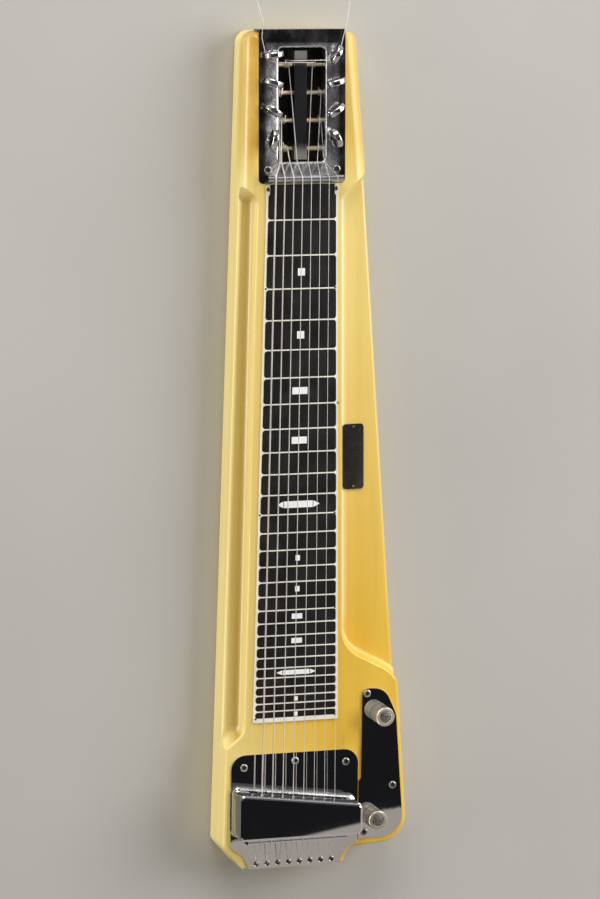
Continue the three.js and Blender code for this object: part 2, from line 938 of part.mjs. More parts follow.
// A tuner's worm, shaft and oval button as one turned and pressed piece
function makeButton(angle) {
  const thread = makeThread().translate(0, 0, -postDepth);
  const low = -lowerEarDepth - earThickness;
  const centre = panProud + buttonLift + buttonHeight / 2;
  const shaft = rod(wormShaftRadius, low, centre, 8);
  const oval = new THREE.Shape();
  oval.absellipse(
    0,
    0,
    buttonWidth / 2 - buttonEdge,
    buttonHeight / 2 - buttonEdge,
    0,
    2 * Math.PI,
    false,
  );
  const plate = new THREE.ExtrudeGeometry(oval, {
    depth: buttonThickness - 2 * buttonEdge,
    bevelEnabled: true,
    bevelThickness: buttonEdge,
    bevelSize: buttonEdge,
    bevelSegments: 2,
    curveSegments: 6,
  })
    .translate(0, 0, buttonEdge - buttonThickness / 2)
    .rotateX(Math.PI / 2)
    .rotateZ(THREE.MathUtils.degToRad(angle))
    .translate(0, 0, centre);
  return join(shaft, thread, plate);
}

[1, -1].forEach((side) => {
  const name = side > 0 ? "right" : "left";
  const angles = side > 0 ? rightButtonAngles : leftButtonAngles;
  piece(`tuner_strip_${name}`, makeStrip(side), tinned, head);
  postPlaces().forEach((y, i) => {
    const post = side > 0 ? makePost() : mirrored(makePost());
    const gear = side > 0 ? makeGear() : makeGear().translate(-2 * gearPlane, 0, 0);
    piece(`${name}_post_${i + 1}`, post, brass, head).position.set(0, y, -postDepth);
    piece(`${name}_gear_${i + 1}`, gear, brass, head).position.set(0, y, -postDepth);
    const button = piece(`${name}_button_${i + 1}`, makeButton(angles[i]), chrome, head);
    button.position.set(side * gearPlane, y + wormOffset, 0);
  });
});

// Nut: a bar with a round crest
function makeNut() {
  const foot = boardTop - bodyThickness - boardThickness - seatGap + panProud + fitGap;
  const shape = new THREE.Shape();
  const crest = boardTop - bodyThickness + nutHeight - nutRadius;
  shape.moveTo(nutCrest + nutRadius, foot);
  shape.lineTo(nutCrest + nutRadius, crest);
  shape.absarc(nutCrest, crest, nutRadius, 0, Math.PI, false);
  shape.lineTo(nutCrest - nutRadius, foot);
  shape.closePath();
  const bar = slab(shape, -nutHalfWidth, nutHalfWidth, { arcSteps: 4 });
  return alongX(bar).translate(0, nutY, bodyThickness);
}

piece("nut", makeNut(), chrome);

// Plates on the tail
function makeBridgePlate() {
  const shape = outline([
    [-bridgePlateHalfWidth, bridgeY + bridgePlateHeadReach, bridgePlateHeadRadius],
    [-bridgePlateHalfWidth, bridgeY - bridgePlateShoulder, plateCornerRadius],
    [-bridgePlateWaist, bridgeY - bridgePlateWaistReach, waistRadius],
    [-bridgePlateTail, bridgeY - bridgePlateEnd, smallCornerRadius],
    [bridgePlateTail, bridgeY - bridgePlateEnd, smallCornerRadius],
    [bridgePlateWaist, bridgeY - bridgePlateWaistReach, waistRadius],
    [bridgePlateHalfWidth, bridgeY - bridgePlateShoulder - bridgePlateSlip, smallCornerRadius],
    [bridgePlateHalfWidth, bridgeY + bridgePlateHeadReach, bridgePlateHeadRadius],
  ]);
  return cut(
    slab(shape, bodyThickness + seatGap, platesTop),
    coilWell(coilHole, bodyThickness - overrun, platesTop + overrun),
    ...anchorBores(bodyThickness - overrun, platesTop + overrun),
    ...screwBores(bridgeScrewPlaces, bodyThickness - overrun, platesTop + overrun),
  );
}

piece("bridge_plate", makeBridgePlate(), chrome);

function makeControlPlate() {
  const headOuter = controlPlateInner + controlPlateHeadWidth;
  const outerAt = (reach) => rightSide(scaleLength - reach) - controlPlateInset;
  const shape = outline([
    [controlPlateInner, bridgeY + controlPlateHeadReach, plateCornerRadius],
    [controlPlateInner, bridgeY + controlPlateStepReach + plateThickness, smallCornerRadius],
    [controlPlateStep, bridgeY + controlPlateStepReach - plateThickness, smallCornerRadius],
    [controlPlateStep, bridgeY - controlPlateTailReach, smallCornerRadius],
    [outerAt(-controlPlateTailReach), bridgeY - controlPlateTailReach, controlPlateTailRadius],
    [
      outerAt(controlPlateHeadReach - controlPlateHeadRadius),
      bridgeY + controlPlateHeadReach - controlPlateHeadRadius,
      controlPlateShoulderRadius,
    ],
    [headOuter - controlPlateHeadRadius / 2, bridgeY + controlPlateHeadReach, controlPlateHeadRadius],
  ]);
  const bores = [upperKnob, lowerKnob].map((knob) =>
    rod(potBushingRadius + fitGap, bodyThickness - overrun, platesTop + overrun).translate(
      knob.x,
      bridgeY + knob.y,
      0,
    ),
  );
  return cut(
    slab(shape, bodyThickness + seatGap, platesTop),
    ...bores,
    ...screwBores(controlScrewPlaces, bodyThickness - overrun, platesTop + overrun),
  );
}

piece("control_plate", makeControlPlate(), chrome);

// The skewed plan of the pickup's housing and cover, drawn in by an inset
function pickupOutline(headLeftReach, headRightReach, tailFace, radius, inset) {
  return outline([
    [-pickupLeft + inset, bridgeY + headLeftReach - inset, Math.max(radius - inset, 0)],
    [-pickupLeft + inset, bridgeY + tailFace + inset, Math.max(radius - inset, 0)],
    [pickupRight - inset, bridgeY + tailFace + inset, Math.max(radius - inset, 0)],
    [pickupRight - inset, bridgeY + headRightReach - inset, Math.max(radius - inset, 0)],
  ]);
}

function makeHousing() {
  const low = platesTop + seatGap;
  const sizes = [housingHeadLeft, housingHeadRight, housingTail, housingRadius];
  const wall = slab(pickupOutline(...sizes, 0), low - housingEdge, boardTop + housingHeight, {
    round: housingEdge,
    roundSteps: 2,
  });
  const foot = slab(pickupOutline(...sizes, -housingFootWidth), low, low + housingFootHeight);
  const inside = slab(
    pickupOutline(...sizes, housingWall),
    low - overrun,
    boardTop + housingHeight + overrun,
  );
  const below = block(
    -tailRight,
    tailRight,
    bridgeY - tailReach,
    bridgeY + bridgePlateHeadReach,
    low - overrun,
    low,
  );
  return cut(join(wall, foot), inside, below);
}

piece("pickup_housing", makeHousing(), chrome);

function makeCover() {
  const low = boardTop + housingHeight + fitGap;
  const high = boardTop + coverTop;
  const sizes = [coverHeadLeft, coverHeadRight, coverTail, coverRadius];
  const shell = slab(pickupOutline(...sizes, 0), low - coverEdge, high, { round: coverEdge });
  const inside = slab(pickupOutline(...sizes, coverWall), low - overrun, high - coverWall);
  const below = block(
    -tailRight,
    tailRight,
    bridgeY - tailReach,
    bridgeY + bridgePlateHeadReach,
    low - overrun,
    low,
  );
  const slots = block(
    -slotHalfWidth,
    slotHalfWidth,
    bridgeY - tailReach,
    bridgeY + bridgePlateHeadReach,
    low - overrun,
    boardTop + slotTop,
  );
  return cut(shell, inside, below, slots);
}

piece("pickup_cover", makeCover(), chrome);

// Coil: a winding between two bobbin flanges, let down through the plate
function makeCoil() {
  const low = boardTop - coilDepth;
  const high = boardTop + coilHeight;
  const plan = (inset) =>
    rectangle(
      -coilHalfWidth + inset,
      coilHalfWidth - inset,
      bridgeY + coilTail + inset,
      bridgeY + coilHead - inset,
      coilCornerRadius,
    );
  return join(
    slab(plan(0), low, low + coilFlange),
    slab(plan(coilInset), low, high),
    slab(plan(0), high - coilFlange, high),
  );
}

piece("pickup_coil", makeCoil(), bobbinBlack);

// Bridge: a bar with a round crest, standing on the plate behind the cover
function makeBridge() {
  const half = bridgeThickness / 2;
  const shape = new THREE.Shape();
  shape.moveTo(half, seatGap);
  shape.lineTo(half, bridgeHeight - half);
  shape.absarc(0, bridgeHeight - half, half, 0, Math.PI, false);
  shape.lineTo(-half, seatGap);
  shape.closePath();
  const bar = slab(shape, -bridgeHalfWidth, bridgeHalfWidth, { arcSteps: 4 });
  return alongX(bar).translate(0, bridgeY, platesTop);
}

piece("bridge", makeBridge(), tinned);

// Controls: a pot under the plate, and a knob with its shaft above it
function makePot() {
  const bore = shaftRadius + runningGap;
  const under = -plateThickness - seatGap;
  const top = knobLift - runningGap;
  const profile = [
    [bore, top],
    [bore, under - potHeight + plateThickness],
    [0, under - potHeight + plateThickness],
    [0, under - potHeight],
    [potRadius, under - potHeight],
    [potRadius, under],
    [potBushingRadius, under],
    [potBushingRadius, top],
    [bore, top],
  ].map(([radius, along]) => new THREE.Vector2(radius, along));
  return new THREE.LatheGeometry(profile, 16).rotateX(Math.PI / 2);
}

function makeKnob() {
  const under = -plateThickness - seatGap;
  const top = knobLift + knobHeight;
  const profile = [
    [0, under - potHeight / 2],
    [shaftRadius, under - potHeight / 2],
    [shaftRadius, knobLift],
    [knobRadius, knobLift],
    [knobRadius, top - knobEdge],
    [knobRadius - knobEdge, top],
    [0, top],
  ].map(([radius, along]) => new THREE.Vector2(radius, along));
  return new THREE.LatheGeometry(profile, knobSegments).rotateX(Math.PI / 2);
}

[
  ["volume", upperKnob],
  ["tone", lowerKnob],
].forEach(([name, place]) => {
  const pot = piece(`${name}_pot`, makePot(), tinned);
  const knob = piece(`${name}_knob`, makeKnob(), nickel);
  [pot, knob].forEach((mesh) => mesh.position.set(place.x, bridgeY + place.y, platesTop));
});

// Output jack: a bushing through the side, open for a plug, with its flange outside
function makeJack() {
  const profile = [
    [jackBoreRadius, jackFlangeThickness],
    [jackBoreRadius, -jackInnerLength],
    [jackBushingRadius, -jackInnerLength],
    [jackBushingRadius, 0],
    [jackFlangeRadius, 0],
    [jackFlangeRadius, jackFlangeThickness],
    [jackBoreRadius, jackFlangeThickness],
  ].map(([radius, along]) => new THREE.Vector2(radius, along));
  const { y, face } = jackPlace();
  return new THREE.LatheGeometry(profile, 16)
    .rotateZ(-Math.PI / 2)
    .translate(face + seatGap, y, jackHeight);
}

piece("output_jack", makeJack(), chrome);

// Capacitor lying on the cavity floor between the pots
const capacitor = rod(capacitorRadius, -capacitorLength / 2, capacitorLength / 2, 12)
  .rotateX(Math.PI / 2)
  .translate(
    (upperKnob.x + lowerKnob.x) / 2,
    bridgeY + (upperKnob.y + lowerKnob.y) / 2,
    cavityFloor + seatGap + capacitorRadius,
  );
piece("capacitor", capacitor, waxedPaper);

// Badge: a bare plate on the floor of the right step, in line with the board's edge
function makeBadge() {
  const half = badgeWidth / 2;
  const shape = rectangle(-half, half, -badgeLength / 2, badgeLength / 2, badgeRadius);
  return slab(shape, seatGap, seatGap + badgeThickness)
    .rotateZ(Math.atan(boardFlare))
    .translate(badgeCentre, nutY - badgeCentreReach, stepFloor);
}

piece("badge", makeBadge(), darkMetal);

// Screws: a domed head over a shank
function makeScrew() {
  const rise = screwHeadHeight / 2;
  const profile = [
    [0, -screwLength + overrun / 2],
    [screwShankRadius, -screwLength + overrun / 2],
    [screwShankRadius, seatGap],
    [screwHeadRadius, seatGap],
    [screwHeadRadius, seatGap + rise / 2],
    [screwHeadRadius * Math.SQRT1_2, seatGap + screwHeadHeight - rise / 4],
    [0, seatGap + screwHeadHeight],
  ].map(([radius, along]) => new THREE.Vector2(radius, along));
  return new THREE.LatheGeometry(profile, 10).rotateX(Math.PI / 2);
}

function placeScrews(name, places, top, parent) {
  places.forEach(([x, y], i) => {
    piece(`${name}_screw_${i + 1}`, makeScrew(), nickel, parent).position.set(x, y, top);
  });
}

placeScrews("bridge_plate", bridgeScrewPlaces, platesTop, guitar);
placeScrews("control_plate", controlScrewPlaces, platesTop, guitar);
placeScrews("pan", panScrewPlaces, panProud, head);

// A round wire along a route, as one closed tube whose section turns with the route
function wire(points, radius) {
  const tangents = points.map((point, i) => {
    const ahead = points[Math.min(i + 1, points.length - 1)];
    const behind = points[Math.max(i - 1, 0)];
    return ahead.clone().sub(behind).normalize();
  });
  let across = new THREE.Vector3(1, 0, 0).cross(tangents[0]).normalize();
  const rings = points.map((point, i) => {
    const along = tangents[i];
    across = across.addScaledVector(along, -across.dot(along)).normalize();
    const other = along.clone().cross(across);
    return Array.from({ length: stringSides }, (_, side) => {
      const angle = (side / stringSides) * 2 * Math.PI;
      return point
        .clone()
        .addScaledVector(across, radius * Math.cos(angle))
        .addScaledVector(other, radius * Math.sin(angle));
    });
  });
  const faces = [];
  for (let i = 0; i + 1 < rings.length; i++) {
    for (let side = 0; side < stringSides; side++) {
      const next = (side + 1) % stringSides;
      const a = rings[i][side];
      const b = rings[i][next];
      const c = rings[i + 1][next];
      const d = rings[i + 1][side];
      faces.push(a, b, c, a, c, d);
    }
  }
  const first = rings[0];
  const last = rings[rings.length - 1];
  for (let side = 1; side + 1 < stringSides; side++) {
    faces.push(first[0], first[side + 1], first[side]);
    faces.push(last[0], last[side], last[side + 1]);
  }
  const geometry = new THREE.BufferGeometry().setFromPoints(faces);
  geometry.computeVertexNormals();
  return geometry;
}

// The angle, about the post, at which a wire from a point above and before it first touches
function touchAngle(y, z, centreY, centreZ, radius) {
  const fromY = y - centreY;
  const fromZ = z - centreZ;
  return Math.atan2(fromZ, fromY) - Math.acos(radius / Math.hypot(fromY, fromZ));
}

// Loose ends of the two middle strings, across the pan and past the head
const looseAcross = 24;
const looseRail = 32;
const looseSag = 0.4;
const looseRuns = [
  { lift: 1.5, rise: [3.5, 5.9], share: 1 },
  { lift: 2.6, rise: [1.9, 4.7], share: -1 },
];
const rightLoose = [
  [34.6, -8.7, 2.4],
  [37.2, 6.2, 6],
  [38.6, 24, 10],
  [38.9, 37, 12],
];
const leftLoose = [
  [-34, -15, 2],
  [-37.1, -4.6, 4],
  [-36.9, 8.7, 7],
  [-42.5, 24, 10],
  [-47.5, 37, 12],
];

function makeString(index) {
  const radius = stringDiameters[index] / 2;
  const side = index < stringCount / 2 ? -1 : 1;
  const postY = firstPost + stringPosts[index] * tunerPitch;
  const nutX = stringX(index, nutSpacing);
  const bridgeX = stringX(index, bridgeSpacing);
  const anchorX = stringX(index, anchorSpacing);
  const open = windowHalfWidth - lipWidth - barHalfWidth;
  const contactX = side * (barHalfWidth + contactShares[index] * open);
  const route = [
    new THREE.Vector3(anchorX, anchorY, platesTop - anchorDepth),
    new THREE.Vector3(anchorX, anchorY, platesTop),
    new THREE.Vector3(anchorX, anchorY + stringClearance * 2, platesTop + anchorBoreRadius),
  ];
  const bridgeLift = platesTop + bridgeHeight + radius + stringClearance;
  const bridgeHalf = bridgeThickness / 4;
  route.push(new THREE.Vector3(bridgeX, bridgeY - bridgeHalf, bridgeLift - bridgeHalf / 4));
  route.push(new THREE.Vector3(bridgeX, bridgeY + bridgeHalf, bridgeLift));
  const crestRadius = nutRadius + radius + stringClearance;
  const crestZ = boardTop + nutHeight - nutRadius;
  crestAngles.forEach((degrees) => {
    const angle = THREE.MathUtils.degToRad(degrees);
    route.push(
      new THREE.Vector3(
        nutX,
        nutY + nutCrest + crestRadius * Math.cos(angle),
        crestZ + crestRadius * Math.sin(angle),
      ),
    );
  });
  const lipY = windowStart + lipWidth * 2;
  const lipZ = panProud + radius + stringClearance;
  const straight = nutX + ((contactX - nutX) * (lipY - nutCrest)) / (postY - nutCrest);
  const lipX = THREE.MathUtils.clamp(straight, -lipContactLimit, lipContactLimit);
  route.push(headPoint(lipX, lipY, lipZ));
  const wrapRadius = postRadius + radius + stringClearance;
  const start = touchAngle(lipY, lipZ, postY, -postDepth, wrapRadius);
  const inward = contactShares[index] > 0.5 ? -side : side;
  const advance = inward * (stringDiameters[index] + wrapSpacing);
  const wraps = [];
  for (let step = 0; step <= wrapTurns * wrapSteps; step++) {
    const turned = step / wrapSteps;
    const angle = start - 2 * Math.PI * turned;
    wraps.push(
      headPoint(
        contactX + advance * turned,
        postY + wrapRadius * Math.cos(angle),
        -postDepth + wrapRadius * Math.sin(angle),
      ),
    );
  }
  route.push(...wraps);
  const last = wraps[wraps.length - 1];
  const heading = last.clone().sub(wraps[wraps.length - 2]).normalize();
  route.push(last.clone().addScaledVector(heading, stubLength));
  if (index === 3 || index === 4) {
    const run = looseRuns[index - 3];
    const places = index === 3 ? rightLoose : leftLoose;
    const [acrossY, railY] = run.rise.map((rise) => postY + rise);
    const sign = run.share;
    route.push(headPoint(contactX + advance * wrapTurns + sign * stubLength, acrossY, run.lift));
    route.push(headPoint(sign * looseAcross, acrossY + looseSag, panProud + run.lift / 2));
    route.push(headPoint(sign * looseRail, railY, panProud + stringClearance + radius));
    places.forEach(([x, beyond, z]) => route.push(headPoint(x, headReach + beyond, z)));
  }
  return { geometry: wire(route, radius), gap: leastGap(wraps, radius) };
}

// The least gap between points of a winding that lie more than half a turn apart
function leastGap(points, radius) {
  let least = Infinity;
  points.forEach((point, i) => {
    for (let j = i + wrapSteps / 2; j < points.length; j++) {
      least = Math.min(least, point.distanceTo(points[j]) - 2 * radius);
    }
  });
  return least;
}

const gaps = stringDiameters.map((_, index) => {
  const { geometry, gap } = makeString(index);
  piece(`string_${index + 1}`, geometry, steelWire);
  return gap;
});
console.log(`least gap between the turns of a string: ${Math.min(...gaps).toFixed(2)} mm`);

export default guitar;
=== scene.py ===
import math
import random

import bpy
from mathutils import Matrix, Vector


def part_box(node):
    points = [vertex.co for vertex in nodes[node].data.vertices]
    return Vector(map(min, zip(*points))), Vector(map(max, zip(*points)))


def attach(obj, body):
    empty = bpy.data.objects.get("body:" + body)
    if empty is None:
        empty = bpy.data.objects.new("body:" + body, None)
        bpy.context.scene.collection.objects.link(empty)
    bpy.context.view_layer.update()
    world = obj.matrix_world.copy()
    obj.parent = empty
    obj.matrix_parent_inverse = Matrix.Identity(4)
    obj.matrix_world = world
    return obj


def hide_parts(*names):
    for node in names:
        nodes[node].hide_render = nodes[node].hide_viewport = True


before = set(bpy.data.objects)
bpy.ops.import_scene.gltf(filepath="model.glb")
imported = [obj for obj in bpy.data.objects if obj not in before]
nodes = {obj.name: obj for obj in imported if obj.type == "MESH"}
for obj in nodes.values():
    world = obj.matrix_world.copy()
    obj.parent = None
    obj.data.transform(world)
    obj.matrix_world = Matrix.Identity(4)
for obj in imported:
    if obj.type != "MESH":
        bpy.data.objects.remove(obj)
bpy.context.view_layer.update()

MM = 0.001
rng = random.Random(8)

# Places that the CAD model fixes, in millimetres
NUT_Y = 285.75
SCALE = 571.5
BRIDGE_Y = NUT_Y - SCALE
ANCHOR_Y = BRIDGE_Y - 21.4
JACK_Y = BRIDGE_Y + 66
JACK_HEIGHT = 20.5
WOOD_TOP = 41.3
PLAY_TOP = 42.7
BOARD_HALF = 31.45
BOARD_FLARE = 0.0148
HEAD_TILT = math.radians(2.04)
HEAD_REACH = 126.6
PAN_TOP = 0.3
POST_START = 27.9
POST_PITCH = 23.5971
WORM_OFFSET = 9.0
WORM_PLANE = 27.7
STEP_DEPTH = 13.2
BADGE_X = 53.7


def mm(*values):
    return Vector(values) * MM


def shift(*values):
    """A move, given in millimetres."""
    return Matrix.Translation(mm(*values))


def spin(angle, axis):
    return Matrix.Rotation(angle, 4, axis)


# The head's own frame: its top slopes down from the nut
HEAD = shift(0, NUT_Y, WOOD_TOP) @ spin(-HEAD_TILT, "X")


# Modelling by hand


def clear():
    bpy.ops.object.select_all(action="DESELECT")


def pick(obj):
    clear()
    obj.select_set(True)
    bpy.context.view_layer.objects.active = obj


def fresh(adder, **kwargs):
    """A new primitive, alone and active."""
    clear()
    adder(**kwargs)
    return bpy.context.object


def done():
    bpy.ops.object.mode_set(mode="OBJECT")


def choose(obj, kind, test):
    """Edit mode with just the vertices, edges or faces that pass the test."""
    pick(obj)
    bpy.ops.object.mode_set(mode="EDIT")
    bpy.ops.mesh.select_mode(type=kind)
    bpy.ops.mesh.select_all(action="DESELECT")
    done()
    mesh = obj.data
    parts = {"VERT": mesh.vertices, "EDGE": mesh.edges, "FACE": mesh.polygons}[kind]
    for part in parts:
        part.select = bool(test(part, mesh))
    bpy.ops.object.mode_set(mode="EDIT")


def choose_all(obj):
    choose(obj, "FACE", lambda face, mesh: True)


def applied(obj, kind, **settings):
    """Adds a modifier and applies it."""
    pick(obj)
    modifier = obj.modifiers.new(kind.lower(), kind)
    for key, value in settings.items():
        setattr(modifier, key, value)
    bpy.ops.object.modifier_apply(modifier=modifier.name)
    return obj


def cut(obj, tool):
    """Takes the tool's shape out of the piece, and then the tool away."""
    applied(obj, "BOOLEAN", object=tool, operation="DIFFERENCE", solver="EXACT")
    bpy.data.objects.remove(tool)
    return obj


def set_down(obj, matrix=None):
    """Moves the object's place into its mesh."""
    pick(obj)
    if matrix is not None:
        obj.matrix_world = matrix @ obj.matrix_world
    bpy.ops.object.transform_apply(location=True, rotation=True, scale=True)
    return obj


def twin(obj, matrix):
    """A copy with its own mesh, put down at a new place."""
    pick(obj)
    bpy.ops.object.duplicate(linked=False)
    return set_down(bpy.context.object, matrix)


def merged(objs):
    clear()
    for obj in objs:
        obj.select_set(True)
    bpy.context.view_layer.objects.active = objs[0]
    bpy.ops.object.join()
    return bpy.context.view_layer.objects.active


def outward(obj):
    choose_all(obj)
    bpy.ops.mesh.normals_make_consistent(inside=False)
    done()
    return obj


def painted_with(obj, material):
    obj.data.materials.clear()
    obj.data.materials.append(material)


def finished(obj, name, material, body="instrument", angle=40, stands_for=()):
    """Names, smooths, paints and fastens a piece."""
    obj.name = name
    obj.data.name = name
    set_down(obj)
    bpy.ops.object.shade_smooth_by_angle(angle=math.radians(angle))
    painted_with(obj, material)
    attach(obj, body)
    if stands_for:
        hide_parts(*stands_for)
    return obj


def soft_edges(obj, angle):
    """A fine live bevel on edges sharper than the angle, in degrees."""
    bevel = obj.modifiers.new("soft_edges", "BEVEL")
    bevel.width = 0.25 * MM
    bevel.segments = 2
    bevel.limit_method = "ANGLE"
    bevel.angle_limit = math.radians(angle)
    return bevel


def drum(radius, low, high, sides=48, at=(0, 0), place=None):
    """A round bar standing along z, in millimetres."""
    bar = fresh(
        bpy.ops.mesh.primitive_cylinder_add,
        vertices=sides,
        radius=radius * MM,
        depth=(high - low) * MM,
        location=mm(at[0], at[1], (low + high) / 2),
    )
    return set_down(bar, place)


def block(sizes, centre, turn=0):
    """A square bar turned about z, in millimetres."""
    bar = fresh(bpy.ops.mesh.primitive_cube_add, size=MM, location=mm(*centre))
    bar.scale = sizes
    bar.rotation_euler.z = turn
    return set_down(bar)


def bored(obj, radius, top, sides=32):
    """Bores a round hole up through the middle of a flat piece that stands on z 0."""
    return cut(obj, drum(radius, -1, top, sides))


# Heights closer than this count as the same, in millimetres
NEAR = 0.02


def rim(obj, height, width, segments=3):
    """Rounds the edges that lie flat at a height."""

    def at_height(edge, mesh):
        return all(abs(mesh.vertices[i].co.z - height * MM) < NEAR * MM for i in edge.vertices)

    choose(obj, "EDGE", at_height)
    bpy.ops.mesh.bevel(offset=width * MM, segments=segments, affect="EDGES")
    done()
    return obj


def panel(low_half, high_half, low_y, high_y, bottom, top, radius):
    """A flat plate with four rounded corners, with a width of its own at each end."""
    obj = fresh(
        bpy.ops.mesh.primitive_plane_add, size=MM, location=mm(0, (low_y + high_y) / 2, bottom)
    )
    for half, side in ((low_half, -1), (high_half, 1)):
        choose(obj, "VERT", lambda vertex, mesh: vertex.co.y * side > 0)
        bpy.ops.transform.resize(value=(2 * half, 1, 1))
        done()
    choose_all(obj)
    bpy.ops.transform.resize(value=(1, high_y - low_y, 1))
    if radius:
        bpy.ops.mesh.bevel(offset=radius * MM, segments=5, affect="VERTICES")
    bpy.ops.mesh.extrude_region_move(
        TRANSFORM_OT_translate={"value": mm(0, 0, top - bottom)}
    )
    done()
    return outward(set_down(obj))


def wound(radius, wire, turns, rise):
    """A round wire wound along z, by the Screw modifier, with its two ends closed."""
    obj = fresh(
        bpy.ops.mesh.primitive_circle_add,
        vertices=6,
        radius=wire * MM,
        rotation=(math.pi / 2, 0, 0),
        location=mm(radius, 0, 0),
    )
    steps = 12 * turns
    applied(
        set_down(obj),
        "SCREW",
        angle=2 * math.pi * turns,
        screw_offset=rise * MM,
        steps=steps,
        render_steps=steps,
        use_merge_vertices=True,
    )
    choose(obj, "EDGE", lambda edge, mesh: False)
    bpy.ops.mesh.select_non_manifold()
    bpy.ops.mesh.fill_holes(sides=0)
    done()
    return outward(obj)


# Building blocks of the finishes


def shader(name):
    material = bpy.data.materials.new(name)
    material.use_nodes = True
    tree = material.node_tree
    base = next(node for node in tree.nodes if node.type == "BSDF_PRINCIPLED")
    return material, tree, base


def metal_shader(name):
    material, tree, base = shader(name)
    base.inputs["Metallic"].default_value = 1.0
    return material, tree, base


def node(tree, kind, **inputs):
    made = tree.nodes.new(kind)
    for key, value in inputs.items():
        if key in made.inputs:
            made.inputs[key].default_value = value
        else:
            setattr(made, key, value)
    return made


def feed(tree, socket, value):
    """Links a socket to another node's output, or sets its number or colour."""
    if hasattr(value, "links"):
        tree.links.new(value, socket)
    else:
        socket.default_value = (*value, 1) if isinstance(value, tuple) else value


def grey(value):
    return (value, value, value)


def colour(r, g, b):
    """A screen colour, 0 to 255, as the shader's linear one."""
    return tuple(
        (c / 255 / 12.92) if c <= 10 else ((c / 255 + 0.055) / 1.055) ** 2.4
        for c in (r, g, b)
    )


def coordinates(tree, along=1.0):
    source = node(tree, "ShaderNodeTexCoord")
    mapping = node(tree, "ShaderNodeMapping", Scale=(1, along, 1))
    tree.links.new(source.outputs["Object"], mapping.inputs["Vector"])
    return mapping.outputs["Vector"]


def split(tree, kind="Object"):
    """The x, y and z, in metres, of the point that is shaded."""
    source = node(tree, "ShaderNodeTexCoord")
    parts = node(tree, "ShaderNodeSeparateXYZ")
    tree.links.new(source.outputs[kind], parts.inputs["Vector"])
    return parts.outputs


def noise(tree, scale, detail, roughness=0.55, distortion=0.0, along=1.0):
    """Clouds, drawn out along the instrument where along is below 1."""
    made = node(
        tree,
        "ShaderNodeTexNoise",
        Scale=scale,
        Detail=detail,
        Roughness=roughness,
        Distortion=distortion,
    )
    tree.links.new(coordinates(tree, along), made.inputs["Vector"])
    return made.outputs["Fac"]


def ramp(tree, value, *stops):
    made = node(tree, "ShaderNodeValToRGB")
    elements = made.color_ramp.elements
    while len(elements) < len(stops):
        elements.new(0.5)
    for element, (place, tone) in zip(elements, stops):
        element.position = place
        element.color = (*tone, 1)
    tree.links.new(value, made.inputs["Fac"])
    return made.outputs["Color"]


# Sockets of the Mix node that carry colours
FIRST_COLOUR, SECOND_COLOUR, MIXED_COLOUR = 6, 7, 2


def mixed(tree, factor, first, second, mode="MIX"):
    made = node(tree, "ShaderNodeMix", data_type="RGBA", blend_type=mode)
    feed(tree, made.inputs["Factor"], factor)
    feed(tree, made.inputs[FIRST_COLOUR], first)
    feed(tree, made.inputs[SECOND_COLOUR], second)
    return made.outputs[MIXED_COLOUR]


def tinted(tree, mask, tone, tint):
    """The tone, multiplied by the tint where the mask is 1."""
    return mixed(tree, mask, tone, mixed(tree, 1.0, tone, tint, "MULTIPLY"))


def math_node(tree, operation, *values):
    made = node(tree, "ShaderNodeMath", operation=operation)
    for socket, value in zip(made.inputs, values):
        feed(tree, socket, value)
    return made.outputs[0]


def times(tree, first, *others):
    for other in others:
        first = math_node(tree, "MULTIPLY", first, other)
    return first


def spread(tree, value, low, high):
    """Runs from 0 to 1 while the value runs from low to high."""
    made = node(tree, "ShaderNodeMapRange")
    made.inputs["From Min"].default_value = low
    made.inputs["From Max"].default_value = high
    tree.links.new(value, made.inputs["Value"])
    return made.outputs[0]


def band(tree, value, one_edge, other_edge):
    """Is 1 between two edges, each a pair that runs from outside to inside."""
    return times(tree, spread(tree, value, *one_edge), spread(tree, value, *other_edge))


def bumped(tree, base, height, strength, distance):
    bump = node(tree, "ShaderNodeBump", Strength=strength, Distance=distance)
    tree.links.new(height, bump.inputs["Height"])
    tree.links.new(bump.outputs["Normal"], base.inputs["Normal"])


# Where the wood's tone and its painted shade and light change, in metres: each pair runs from none
# of a tone to all of it
TOP_FACE = (0.0335, 0.0385)
CONTROL_EDGE = (0.040, 0.048)
WALL_FOOT = (0.012, 0.024)
HEAD_TO_TAIL = (0.16, -0.14)
LEFT_TO_RIGHT = (-0.046, 0.03)
TROUGH_WIDTH = (-0.0215, -0.0125), (-0.0074, -0.0110)
TROUGH_HEIGHT = (0.0276, 0.0282), (0.0405, 0.0385)
TROUGH_END = (0.284, 0.268)
BESIDE_PAN = (0.285, 0.32)
BESIDE_PAN_FOOT = (0.014, 0.024)
LEFT_OF_PAN = (-0.0535, -0.045), (0.0, -0.005)
STAIN_WIDTH = (0.024, 0.05), (0.068, 0.056)
STAIN_START = (-0.19, -0.215)
COVE_WIDTH = (0.004, 0.006), (0.014, 0.008)
COVE_TOP = (0.0412, 0.0406)
COVE_LENGTH = (0.29, 0.27), (-0.12, -0.09)

# The pocket under the tuner pan and the bores of the anchors, where shade is painted, in metres:
# middles and half sizes
POCKET_MIDDLE = (NUT_Y + 65.1) * MM
POCKET_HALF = (0.0358, 0.0531)
POCKET_FLOOR = 0.005
BORES_HALF = (0.0375, 0.0026)
BORES_FLOOR = (0.004, 0.005)


